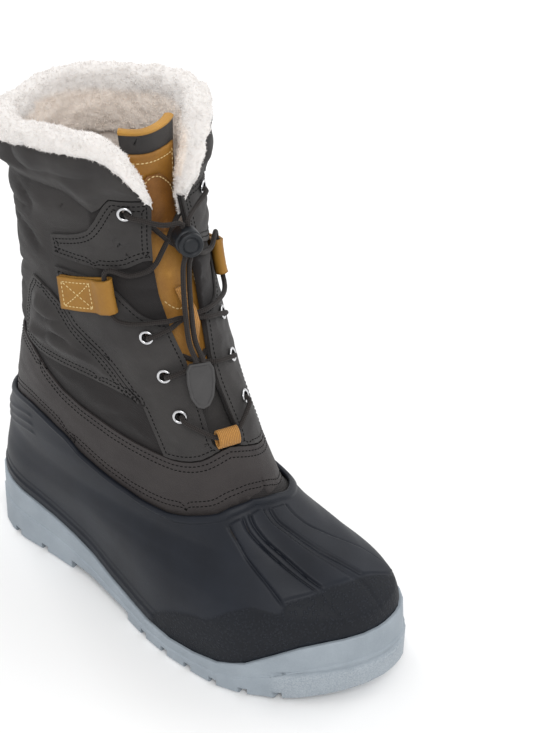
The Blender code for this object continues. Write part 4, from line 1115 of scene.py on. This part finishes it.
FOLDS = {"quarter_outer": 0.0034, "quarter_inner": 0.0034, "flap_outer": 0.0014,
         "flap_inner": 0.0014, "cuff": 0.0026}
PULL_SHARE, WAVE_HEIGHT = 0.45, 0.00022
SHORTEST_LOOP = 8
SEWN_EDGE, FULL_OVER = 0.0045, 0.011     # width of the flat edge, and of the rise from it
CUFF_EDGE, CUFF_OVER = 0.0, 0.009        # the cuff rises right from its edge
WAVE_OVER = 0.004
RAND_TUCK, RAND_FADE = 0.0045, 0.011     # the rand's lower edge goes down behind the rim
PADDED = ("cuff", "quarter_outer", "quarter_inner")
SHEET_THICKNESS = 0.0011
seams, filled = {}, {}
for name, sheet in sheets.items():
    seed, fill = len(filled), FILLS[name]
    seams[name] = borders(sheet)
    edge_points = np.array([entry[0] for loop in seams[name] for entry in loop])
    spots = points_of(sheet)
    inset = nearest_distance(spots, edge_points)
    edge, over = (CUFF_EDGE, CUFF_OVER) if name == "cuff" else (SEWN_EDGE, FULL_OVER)
    full = smoothstep((inset - edge) / over)
    pull = noise_at(spots, seed * 5.0, (45, 45, 110))
    wave = noise_at(spots, 40.0 + seed, (120, 120, 200)) * WAVE_HEIGHT
    fold = ridged(spots, 70.0 + seed, (26, 26, 70))
    raised = full * (fill + fill * PULL_SHARE * pull - FOLDS.get(name, 0.0) * fold)
    raised = raised + wave * smoothstep(inset / WAVE_OVER)
    spots = spots + normals_of(sheet) * raised[:, None]
    if name == "rand":
        over_rim = spots[:, 2] - height_of(RIM.at(turns_of(spots))["level"])
        spots[:, 2] -= RAND_TUCK * smoothstep(1 - over_rim / RAND_FADE)
    put(sheet, spots)
    wrap_uv(sheet)
    applied(sheet, "SOLIDIFY", thickness=SHEET_THICKNESS, offset=-1)
    finish, slot = (RAND, "rand") if name == "rand" else (CLOTH, "cloth")
    filled[name] = dress(sheet, finish, slot, name)
    name in PADDED

# %% [markdown]
# ## Stitches
#
# One stitch is modelled once, as a small round bead, and each copy is drawn out to a
# thread's length. A row walks along a panel's border, a few millimetres in, and drops a copy
# at an even pace, each laid onto the nearest spot of the padded surface. All the stitches of
# one thread are one mesh.

# %% One stitch and its rows
STITCH_PITCH, STITCH_WIDTH, STITCH_HEIGHT, STITCH_LIFT = 0.0027, 0.0007, 0.00056, 0.000084
PATH_BREAK = 0.02            # a longer step isn't part of the row
LONG_LOOP = 60               # only borders with more edges than this are sewn

bpy.ops.object.select_all(action="DESELECT")
bpy.ops.mesh.primitive_uv_sphere_add(segments=6, ring_count=4, radius=0.5)
stitch = bpy.context.object
bpy.ops.transform.rotate(value=math.pi / 2, orient_axis="Y", center_override=(0, 0, 0))
bpy.ops.object.transform_apply(location=True, rotation=True, scale=True)


def repeated(name, shape, matrices):
    """One mesh with a copy of a small shape at every matrix."""
    points, faces = shape
    count = len(points)
    wide = np.hstack([points, np.ones((count, 1))])
    spots = np.einsum("mij,nj->mni", np.array(matrices), wide)[..., :3].reshape(-1, 3)
    data = bpy.data.meshes.new(name)
    data.from_pydata(spots.tolist(), [], [tuple(point + step * count for point in face)
                                          for step in range(len(matrices)) for face in faces])
    return linked(name, data)


def taken(thing):
    """The points and faces of a small shape, which is then removed."""
    shape = points_of(thing), [tuple(face.vertices) for face in thing.data.polygons]
    bpy.data.objects.remove(thing, do_unlink=True)
    return shape


def surface(thing):
    """A tree that finds the nearest spot of a piece."""
    mesh = bmesh.new()
    mesh.from_mesh(thing.data)
    tree = BVHTree.FromBMesh(mesh)
    mesh.free()
    return tree


def sew(path, tree, length=0.0020, skip=None, reach=0.003):
    """Matrices of the stitches along a path of places, laid onto a surface."""
    matrices, travel, goal = [], 0.0, STITCH_PITCH / 2
    for start, end in zip(path, path[1:]):
        step = (end - start).length
        if step > PATH_BREAK:
            travel, goal = 0.0, STITCH_PITCH / 2
            continue
        while travel + step >= goal and step > 0:
            place = start.lerp(end, (goal - travel) / step)
            goal += STITCH_PITCH
            found, normal, _, _ = tree.find_nearest(place)
            if found is None or (found - place).length > reach or (skip and skip(found)):
                continue
            along = (end - start).normalized()
            side = normal.cross(along).normalized()
            matrix = matrix_of(side.cross(normal) * length, side * STITCH_WIDTH, normal * STITCH_HEIGHT,
                               found + normal * STITCH_LIFT)
            matrices.append(np.array(matrix))
        travel += step
    return matrices


def even(loop, inset):
    """A smooth path at a distance inside a border loop."""
    spots = np.array([entry[0] + entry[2] * inset for entry in loop])
    for _ in range(4):
        spots = (np.roll(spots, 1, 0) + 2 * spots + np.roll(spots, -1, 0)) / 4
    return [Vector(place) for place in spots] + [Vector(spots[0])]


stitch_shape = taken(stitch)
ROWS = {"rand": (0.0028, 0.0062), "quarter_outer": (0.0022, 0.0050), "quarter_inner": (0.0022, 0.0050),
        "eyestay_outer": (0.0026,), "eyestay_inner": (0.0026,),
        "flap_outer": (0.0026, 0.0054), "flap_inner": (0.0026, 0.0054)}
HEM_BACK, HEM_FRONT, HEM_SPLIT_Y = 0.288, 0.300, 0.02


def under_fleece(place):
    """True above the fleece's hem, where no stitch shows."""
    return place.z > (HEM_BACK if place.y > HEM_SPLIT_Y else HEM_FRONT)


dark_stitches = []
for name, insets in ROWS.items():
    tree = surface(filled[name])
    for loop in (loop for loop in seams[name] if len(loop) > LONG_LOOP):
        for inset in insets:
            dark_stitches += sew(even(loop, inset), tree, skip=under_fleece, reach=0.006)
print("dark stitches:", len(dark_stitches))
dress(repeated("dark_stitches", stitch_shape, dark_stitches), DARK_THREAD, "cloth")

# %% [markdown]
# ## The tongue
#
# A padded strip with a bound top edge. An ochre leather panel is sewn to its face, in two
# parts, and a round-topped patch above it is left plain.

# %% The tongue and its leather
tongue = copy_of("tongue", "tongue_pad")
refine(tongue, 0.003)
relax(tongue, 14, 60)
spots = points_of(tongue)
puff = noise_at(spots, 21.0, 60) * 0.0005
put(tongue, spots + normals_of(tongue) * puff[:, None])
wrap_uv(tongue)
dress(tongue, CLOTH, "tongue", "tongue")

TONGUE = Table("level face half", (
    (1.060, -0.0080, 20.0), (1.300, -0.0080, 24.0), (1.600, -0.0085, 30.0), (1.720, -0.0135, 32.0),
    (1.800, -0.0168, 34.0), (2.080, -0.0175, 38.0),
))
PANEL_FACE = 0.0019          # the leather's outer face over the tongue's


def on_tongue(turn, level, rise):
    """Points over the tongue's face."""
    return spot(turn, level, TONGUE.at(level)["face"] + rise)


def tube(name, path, radius, sides):
    """A round tube along a path, with a UV map round it and along it."""
    path = np.array([tuple(place) for place in path])
    tangent = np.gradient(path, axis=0)
    tangent /= np.linalg.norm(tangent, axis=1, keepdims=True)
    travel = np.concatenate([[0], np.cumsum(np.linalg.norm(np.diff(path, axis=0), axis=1))])
    side = Vector(tangent[0]).orthogonal().normalized()
    spots = []
    for place, along in zip(path, tangent):
        along = Vector(along)
        side = (side - along * side.dot(along)).normalized()
        other = along.cross(side)
        spots += [tuple(Vector(place) + (side * math.cos(turn) + other * math.sin(turn)) * radius)
                  for turn in (2 * math.pi * step / sides for step in range(sides))]
    faces, uvs = [], []
    for row in range(len(path) - 1):
        for step in range(sides):
            after = (step + 1) % sides
            faces.append((row * sides + step, row * sides + after, (row + 1) * sides + after,
                          (row + 1) * sides + step))
            uvs += [(step / sides, travel[row]), ((step + 1) / sides, travel[row]),
                    ((step + 1) / sides, travel[row + 1]), (step / sides, travel[row + 1])]
    for row, order in ((0, -1), (len(path) - 1, 1)):
        faces.append(tuple(row * sides + step for step in range(sides))[::order])
        uvs += [(0.0, travel[row])] * sides
    data = bpy.data.meshes.new(name)
    data.from_pydata(spots, [], faces)
    data.uv_layers.new(name="wrap").data.foreach_set("uv", np.array(uvs).ravel())
    return linked(name, data)


panel = copy_of("tongue_panel", "leather_panel")
refine(panel, 0.003)
relax(panel, 10, 60)
dress(panel, LEATHER, "leather", "tongue_panel")
patch = copy_of("tongue_patch", "leather_patch")
refine(patch, 0.0022)
relax(patch, 3, 60)
dress(patch, PATCH, "leather", "tongue_patch")

BINDING_SECTION = ((2.0745, 0.0001), (2.078, 0.0006), (2.083, 0.0006), (2.0865, -0.0006),
                   (2.088, -0.0022), (2.0865, -0.0040), (2.083, -0.0050), (2.078, -0.0051),
                   (2.0745, -0.0048))     # level, and distance from the tongue's face
BINDING_WIDTH = 0.012
BINDING_GIRTH = 0.0007       # metres along the top edge per degree
tongue_top = TONGUE.at(2.08)
turns = np.linspace(-1, 1, 61)[:, None] * tongue_top["half"]
levels, rises = np.array(BINDING_SECTION).T[:, None]
bound = spot(turns, levels, tongue_top["face"] + rises)
around = np.linspace(0, BINDING_WIDTH, len(BINDING_SECTION))[None]
binding_uv = np.stack(np.broadcast_arrays(turns * BINDING_GIRTH, around), -1)
binding = grid_mesh("tongue_binding", bound, uv=binding_uv)
applied(binding, "SOLIDIFY", thickness=0.0006, offset=1)
dress(binding, BINDING, "leather")

# %% [markdown]
# Cream thread holds the leather: one row down each side of the panel, a curved seam across
# it, a row along its top, and a row round the patch.

# %% Cream stitches on the leather
PANEL_SHARE, ROW_INSET = 0.82, 2.6       # the leather's width on the tongue's, and a row's inset
SEAM_HALF, SEAM_LEVEL, SEAM_BEND = 14, 1.575, 0.022
TOP_HALF, TOP_LEVEL = 26, 1.994
PATCH_HALF, PATCH_LEVEL, PATCH_HEIGHT, PATCH_RISE = 20.5, 1.869, 0.086, 0.0015

levels = np.linspace(1.40, 2.00, 120)
side_turns = PANEL_SHARE * TONGUE.at(levels)["half"] - ROW_INSET
seam_turns = np.linspace(-SEAM_HALF, SEAM_HALF, 40)
seam_levels = SEAM_LEVEL + SEAM_BEND * (seam_turns / SEAM_HALF) ** 2
top_turns = np.linspace(-TOP_HALF, TOP_HALF, 40)
arc = np.radians(np.linspace(0, 180, 50))
panel_rows = ((-side_turns, levels), (side_turns, levels), (seam_turns, seam_levels),
              (top_turns, np.full(40, TOP_LEVEL)))
patch_row = (PATCH_HALF * np.cos(arc), PATCH_LEVEL + PATCH_HEIGHT * np.sin(arc))
sewn = ((panel, panel_rows, PANEL_FACE), (patch, (patch_row,), PANEL_FACE + PATCH_RISE))
cream_stitches = []
for leather, rows, rise in sewn:
    tree = surface(leather)
    for turns, levels in rows:
        path = [Vector(place) for place in on_tongue(turns, levels, rise)]
        cream_stitches += sew(path, tree)
print("cream stitches on the tongue:", len(cream_stitches))

# %% [markdown]
# ## Webbing and leather loops
#
# The two side loops fold round the cord and are sewn flat with a box and a cross. The toe
# loop and the keeper are ribbed webbing.

# %% The side loops
LOOP_LEVEL, LOOP_TURN, LOOP_LEAN, LOOP_HEIGHT, LOOP_FACE = 1.618, 52.5, 0.0016, 0.105, 0.0028
SIDES = (("outer", 1), ("inner", -1))


def on_loop(side, turn, row):
    """A place on a strap's outer layer: degrees from the throat, and 0 to 1 up the strap."""
    level = LOOP_LEVEL - LOOP_LEAN * (turn - LOOP_TURN) + (row - 0.5) * LOOP_HEIGHT
    return Vector(spot(side * turn, level, LOOP_FACE))


box = ((63, 0.12), (80, 0.12), (80, 0.88), (63, 0.88))
runs = (*zip(box, box[1:] + box[:1]), (box[0], box[2]), (box[1], box[3]))
for word, side in SIDES:
    loop = copy_of(f"side_loop_{word}", f"loop_{word}")
    refine(loop, 0.0024)
    relax(loop, 8, 50)
    dress(loop, LOOP, "webbing", f"side_loop_{word}")
    tree = surface(loop)
    for start, end in runs:
        places = np.linspace(start, end, 14)
        cream_stitches += sew([on_loop(side, turn, row) for turn, row in places], tree, length=0.0019)
print("cream stitches:", len(cream_stitches))
dress(repeated("cream_stitches", stitch_shape, cream_stitches), CREAM_THREAD, "leather")


# %% The toe loop and the keeper
def strap_uv(thing, across, origin):
    """Triangles, and a UV map in metres: across the strap, and up it."""
    triangles(thing)
    layer = thing.data.uv_layers.new(name="wrap")
    spots = points_of(thing) - np.array(origin)
    values = np.stack([spots @ np.array(across), spots[:, 2]], -1)
    layer.data.foreach_set("uv", values[corner_points(thing)].ravel())


def frame_at(turn, level, offset):
    """Matrix at a spot: X round the shaft, Y outwards, Z up."""
    angle, height = float(angle_of_turn(turn)), float(height_of(level))
    out = Vector(outward(angle, height))
    girth = out.cross(Vector((0, 0, 1))).normalized()
    return matrix_of(girth, out, girth.cross(out), Vector(spot(turn, level, offset)))


BANDS_OF_WEBBING = (("toe_loop", "toe_webbing", 0, 1.201), ("tongue_keeper", "keeper_webbing", -3.5, 1.55))
for node, name, turn, level in BANDS_OF_WEBBING:
    band = copy_of(node, name)
    refine(band, 0.0016)
    relax(band, 6, 50)
    place = frame_at(turn, level, 0.0)
    strap_uv(band, place.col[0].to_3d(), place.translation)
    dress(band, WEBBING, "webbing", node)

# %% [markdown]
# ## Eyelets
#
# An eyelet is a rolled steel ring with a short barrel through the cloth. A torus is
# flattened for the ring and a tube is added for the barrel, and the finished eyelet is laid
# onto its spot. All eight are made in the same way. The barrel's inside and the ring's inner
# edge get a near-black finish, a painted shade for the hole.

# %% Eyelets
EYELETS = ((28.5, 1.265), (30.5, 1.385), (35.0, 1.500), (34.0, 1.880))
EYELET_MAJOR, EYELET_MINOR, EYELET_FLAT = 0.0035, 0.00085, 0.75
BARREL, BARREL_DEPTH, BARREL_Z = 0.0027, 0.0052, -0.0024
EYELET_FACE = 0.0001
for row, (turn, level) in enumerate(EYELETS, 1):
    for word, side in SIDES:
        bpy.ops.object.select_all(action="DESELECT")
        bpy.ops.mesh.primitive_torus_add(major_radius=EYELET_MAJOR, minor_radius=EYELET_MINOR,
                                         major_segments=32, minor_segments=12)
        eyelet = bpy.context.object
        eyelet.name = f"eyelet_ring_{word}_{row}"
        bpy.ops.object.mode_set(mode="EDIT")
        bpy.ops.transform.resize(value=(1, 1, EYELET_FLAT), center_override=(0, 0, 0))
        bpy.ops.mesh.select_all(action="DESELECT")
        bpy.ops.object.mode_set(mode="OBJECT")
        bpy.ops.mesh.primitive_cylinder_add(vertices=32, radius=BARREL, depth=BARREL_DEPTH,
                                            location=(0, 0, BARREL_Z), end_fill_type="NOTHING")
        eyelet.select_set(True)
        bpy.context.view_layer.objects.active = eyelet
        bpy.ops.object.join()
        matrix = frame_at(side * turn, level, EYELET_FACE) @ Matrix.Rotation(-math.pi / 2, 4, "X")
        # faces inside the barrel's radius get the painted shade of the hole
        dark = [math.hypot(*face.center[:2]) < BARREL for face in eyelet.data.polygons]
        eyelet.data.transform(matrix)
        dress(eyelet, STEEL, "eyelets", f"eyelet_{word}_{row}")
        eyelet.data.materials.append(HOLE_SHADE)
        eyelet.data.polygons.foreach_set("material_index", dark)

# %% [markdown]
# ## The cord
#
# One round elastic cord laces the boot. Each strand comes out of an eyelet, crosses the
# throat and dives under the other edge. Its route is a short list of spots on the boot, each
# a turn in degrees, a level and a distance from the skin, and a smooth curve runs through
# them. The inner side's routes are the outer side's, mirrored.

# %% Cord routes
CORD_RADIUS, CORD_SIDES, CURVE_STEPS = 0.0015, 12, 24
# Over an eyelet: steps in degrees and levels, and distances from the skin
OUT = ((-1.1, -0.002, -0.0052), (-1.1, -0.002, -0.0010), (-2.0, 0.000, 0.0018))


def smooth(points, spacing=0.0022):
    """Evenly spaced points on a smooth curve through the given ones."""
    points = np.array([tuple(place) for place in points])
    ends = np.vstack([2 * points[0] - points[1], points, 2 * points[-1] - points[-2]])
    fine = []
    for a, b, c, d in zip(ends, ends[1:], ends[2:], ends[3:]):
        t = np.linspace(0, 1, CURVE_STEPS, endpoint=False)[:, None]
        fine.append(b + 0.5 * t * (c - a + t * (2 * a - 5 * b + 4 * c - d + t * (3 * (b - c) + d - a))))
    fine = np.vstack([*fine, points[-1:]])
    travel = np.concatenate([[0], np.cumsum(np.linalg.norm(np.diff(fine, axis=0), axis=1))])
    goals = np.linspace(0, travel[-1], max(3, round(travel[-1] / spacing)))
    return np.stack([np.interp(goals, travel, fine[:, axis]) for axis in range(3)], -1)


def route(rows, side=1):
    """The places of a route, mirrored for the inner side."""
    return [spot(side * turn, level, offset) for turn, level, offset in rows]


def lead(turn, level, side):
    """The places of the stretch that comes up through an eyelet, on one side of the boot."""
    return route([(turn + step, level + rise, offset) for step, rise, offset in OUT], side)


TOE_BAR = ((25.5, 1.255, 0.0031), (21, 1.240, 0.0023), (16, 1.224, 0.0016), (9, 1.207, 0.0013),
           (0, 1.202, 0.0008))
CROSSING = ((26, 1.392, 0.0031), (21, 1.399, 0.0023), (16, 1.406, 0.0016), (12, 1.411, 0.0015),
            (7, 1.416, -0.0010), (0, 1.424, -0.0034), (-7.5, 1.433, -0.0046), (-13, 1.440, -0.0064))
WAIST = (
    (31, 1.508, 0.0031), (26, 1.517, 0.0023), (20, 1.528, 0.0016), (16, 1.534, 0.0012),
    (8, 1.545, -0.0022), (0, 1.551, -0.0032), (-8, 1.555, -0.0022), (-16, 1.556, 0.0012),
    (-26, 1.552, 0.0014), (-38, 1.543, 0.0018),
    (-45, 1.541, 0.0026), (-50, 1.546, 0.0031), (-52.4, 1.566, 0.0032), (-52.5, 1.618, 0.0032),
    (-52.5, 1.678, 0.0031), (-50.5, 1.699, 0.0028), (-46, 1.699, 0.0017), (-39, 1.688, 0.0004),
    (-31, 1.694, -0.0004), (-24, 1.706, 0.0002), (-20, 1.716, 0.0004), (-16, 1.728, -0.0008),
    (-10, 1.747, -0.0040), (0, 1.778, -0.0062), (11, 1.815, -0.0075), (18, 1.835, -0.0080),
)
TOP = ((29.5, 1.877, 0.0031), (23, 1.870, 0.0031), (16, 1.862, 0.0046), (9, 1.858, 0.0078))
LOCK_SPOT, TAB_SPOT = (-3, 1.800, 0.0098), (7, 1.365, 0.0048)
LOCK_WIDTH, LOCK_TWIST, TAB_LENGTH = 0.016, math.radians(70), 0.0275
CORD_APART, CORD_TIP, CORD_STRAIGHT, CORD_INSIDE = 0.0042, 0.0004, 0.002, 0.001
HANGING = ((-2.5, 1.710, 0.0062), (-1, 1.640, 0.0044), (1.5, 1.560, 0.0037), (4, 1.490, 0.0040))


def strand(name, places, *replaced):
    """A piece of the cord."""
    return threaded(name, smooth(places), *replaced)


def threaded(name, path, *replaced):
    """A round cord along a smooth path."""
    return dress(tube(name, path, CORD_RADIUS, CORD_SIDES), CORD, "cord", *replaced, angle=60)


toe_eyelet, cross_eyelet, waist_eyelet, top_eyelet = EYELETS
toe_row = lead(*toe_eyelet, 1) + route(TOE_BAR)
toe_other = lead(*toe_eyelet, -1) + route(TOE_BAR, -1)
strand("lace_toe_bar", toe_row + toe_other[-2::-1], "lace_toe")
for word, side in SIDES:
    strand(f"lace_cross_{word}", lead(*cross_eyelet, side) + route(CROSSING, side), "lace_cross")
    strand(f"lace_waist_{word}", lead(*waist_eyelet, side) + route(WAIST, side), "lace_waist")

lock_frame, tab_frame = frame_at(*LOCK_SPOT), frame_at(*TAB_SPOT)
lock_end, tab_end = LOCK_WIDTH / 2 + CORD_TIP, TAB_LENGTH / 2 + CORD_TIP
ends = {}
for word, side in SIDES:
    aside = side * CORD_APART / 2
    entry = [lock_frame @ Vector((aside, 0, lock_end + step)) for step in (CORD_STRAIGHT, -CORD_INSIDE)]
    top_row = lead(*top_eyelet, side) + route(TOP, side) + entry
    strand(f"lace_top_strand_{word}", top_row, f"lace_top_{word}")
    leave = [lock_frame @ Vector((aside, 0, -lock_end - step)) for step in (0.0, CORD_STRAIGHT)]
    hang = [Vector(place) + lock_frame.col[0].to_3d() * aside for place in route(HANGING)]
    hold = [tab_frame @ Vector((aside, 0, tab_end + step)) for step in (CORD_STRAIGHT, 0.0)]
    path = smooth(leave + hang + hold, 0.0015)
    piece = threaded(f"cord_hanging_{word}", path, f"cord_end_{word}")
    ends[word] = (piece, path, float(np.linalg.norm(np.diff(path, axis=0), axis=1).sum()))
    print("hanging cord", word, round(ends[word][2] * 1000, 1), "mm")

# %% [markdown]
# The lock is a plastic barrel with a round push button, and the two ends run into a
# shield-shaped rubber tab with a raised border. The border comes from insetting the tab's
# two faces and pushing the middle in.

# %% Lock, button and tab
FACING = 0.985               # a face whose normal agrees this well looks along a direction


def sunk(thing, rings, direction):
    """Inset the faces that look along a direction, once per ring, and push them in or out."""
    only(thing)
    bpy.ops.object.mode_set(mode="EDIT")
    bpy.ops.mesh.select_mode(type="FACE")
    bpy.ops.mesh.select_all(action="DESELECT")
    bpy.ops.object.mode_set(mode="OBJECT")
    for face in thing.data.polygons:
        face.select = face.normal.dot(direction) > FACING
    bpy.ops.object.mode_set(mode="EDIT")
    for width, push in rings:
        bpy.ops.mesh.inset(thickness=width, depth=push)
    bpy.ops.object.mode_set(mode="OBJECT")


BARREL_RINGS = ((0.0012, 0.0), (0.0005, -0.0005), (0.0022, 0.0), (0.0004, 0.0004))
BUTTON_RINGS = ((0.0010, 0.0), (0.0005, -0.0009), (0.0003, 0.0), (0.0004, 0.0006), (0.0018, 0.0003))
TAB_RINGS = ((0.0013, 0.0), (0.0005, -0.0008))
axle = (lock_frame @ Matrix.Rotation(LOCK_TWIST, 4, "Z")).col[0].to_3d().normalized()
barrel = copy_of("cord_lock", "lock_barrel")
sunk(barrel, BARREL_RINGS, -axle)
button = copy_of("lock_button", "lock_push_button")
sunk(button, BUTTON_RINGS, axle)
for thing, node in ((barrel, "cord_lock"), (button, "lock_button")):
    applied(thing, "SUBSURF", levels=2, render_levels=2)
    dress(thing, LOCK, "lock", node, angle=35)

tab = copy_of("lace_tab", "end_tab")
out = tab_frame.col[1].to_3d().normalized()
only(tab)
bpy.ops.object.mode_set(mode="EDIT")
bpy.ops.mesh.select_all(action="SELECT")
bpy.ops.mesh.tris_convert_to_quads(face_threshold=math.radians(10), shape_threshold=math.radians(180))
bpy.ops.mesh.dissolve_limited(angle_limit=math.radians(3))
bpy.ops.object.mode_set(mode="OBJECT")
sunk(tab, TAB_RINGS, out)
sunk(tab, TAB_RINGS, -out)
applied(tab, "BEVEL", width=0.0005, segments=3, limit_method="ANGLE", angle_limit=math.radians(30))
dress(tab, TAB, "tab", "lace_tab", angle=30)

# %% [markdown]
# ## The fleece
#
# Real fleece is a felted mass with fuzz standing from it. The solid gives the mass: its
# copy is refined and made lumpy. Then thousands of thin curls stand on it at random spots,
# leaning at random, with the random numbers seeded. The curl itself, a bent spike, is
# modelled once.

# %% The fleece's mass
COLLAR = Table("turn level", (
    (0, 1.880), (15, 1.900), (21, 1.950), (29, 2.000), (38, 2.045), (55, 2.065), (90, 2.045),
    (112, 2.015), (150, 2.005), (180, 1.995),
))
FLEECE_LUMPS = ((0.0013, 2.0, 130), (0.0007, 5.0, 330))
INNER_RISE = 0.007           # the collar is this much higher on the inner side
WHITE_DEPTH = 0.003          # below this under the collar's edge the pile inside is beige
fleece = copy_of("fleece_collar", "fleece_mass")
refine(fleece, 0.0028)
relax(fleece, 8, 80)
spots = points_of(fleece)
lie = normals_of(fleece)
put(fleece, spots + lie * layered(spots, FLEECE_LUMPS)[:, None])
inner_side = np.maximum(0, -np.sin(np.radians(angle_of(spots))))
collar = height_of(COLLAR.at(turns_of(spots))["level"]) + INNER_RISE * inner_side
deep = smoothstep((collar - spots[:, 2] - WHITE_DEPTH) / 0.006)
inward_face = smoothstep((-(lie * skin_at(spots)).sum(1) - 0.1) / 0.3) * deep
flag(fleece, "inside", inward_face)
dress(fleece, FLEECE, "fleece", "fleece_collar", angle=80)

# %% Curls of the fleece
random.seed(7)
bpy.ops.object.select_all(action="DESELECT")
bpy.ops.mesh.primitive_cone_add(vertices=3, radius1=0.5, radius2=0.32, depth=0.5, location=(0, 0, 0.25),
                                end_fill_type="NOTHING")
curl = bpy.context.object
bpy.ops.object.mode_set(mode="EDIT")
bpy.ops.mesh.select_mode(type="EDGE")
bpy.ops.mesh.select_all(action="DESELECT")
bpy.ops.object.mode_set(mode="OBJECT")
for edge in curl.data.edges:
    edge.select = all(curl.data.vertices[index].co.z + curl.location.z > 0.45 for index in edge.vertices)
bpy.ops.object.mode_set(mode="EDIT")
bpy.ops.mesh.extrude_region_move(TRANSFORM_OT_translate={"value": (0.28, 0, 0.32)})
bpy.ops.transform.resize(value=(0.5, 0.5, 0.5))
bpy.ops.mesh.merge(type="CENTER")
bpy.ops.object.mode_set(mode="OBJECT")
bpy.ops.object.transform_apply(location=True, rotation=True, scale=True)
curl_shape = taken(curl)
print("a curl has", len(curl_shape[1]), "faces")


CURLS, CURL_LENGTH, CURL_WIDTH, CURL_LEAN = 21000, 0.0019, 0.00045, 1.0
CURL_ROOT = 0.15             # share of a curl's length below the mass's skin


def curl_on(place, out):
    """A curl's matrix at a place, leaning away from the normal at random."""
    lean = Vector([random.uniform(-CURL_LEAN, CURL_LEAN) for _ in range(3)])
    axis = (Vector(out) + lean).normalized()
    side = Matrix.Rotation(random.uniform(0, 2 * math.pi), 3, axis) @ axis.orthogonal().normalized()
    long = CURL_LENGTH * random.uniform(0.6, 1.25)
    wide = CURL_WIDTH * random.uniform(0.7, 1.3)
    root = Vector(place) - axis * long * CURL_ROOT
    return np.array(matrix_of(side * wide, axis.cross(side) * wide, axis * long, root))


def standing(thing, count):
    """Matrices of curls at random spots of a piece, chosen by area."""
    corners = np.array([face.vertices[:] for face in thing.data.polygons])
    a, b, c = points_of(thing)[corners.T]
    area = np.linalg.norm(np.cross(b - a, c - a), axis=1)
    pick = np.random.default_rng(11)
    chosen = pick.choice(len(area), count, p=area / area.sum())
    u, v = pick.random((2, count))
    flip = u + v > 1
    u[flip], v[flip] = 1 - u[flip], 1 - v[flip]
    places = a[chosen] + (b - a)[chosen] * u[:, None] + (c - a)[chosen] * v[:, None]
    return [curl_on(*pair) for pair in zip(places, normals_of(thing)[corners[chosen, 0]])]


triangles(fleece)
curls = standing(fleece, CURLS)
fleece_pile = repeated("fleece_pile", curl_shape, curls)
centres = points_of(fleece_pile).reshape(len(curls), -1, 3).mean(1)
tree = nearest_of(points_of(fleece))
per_curl = np.array([inward_face[tree.find(place)[1]] for place in centres])
flag(fleece_pile, "inside", np.repeat(per_curl, len(curl_shape[0])))
dress(fleece_pile, FUZZ, "fleece", angle=80)
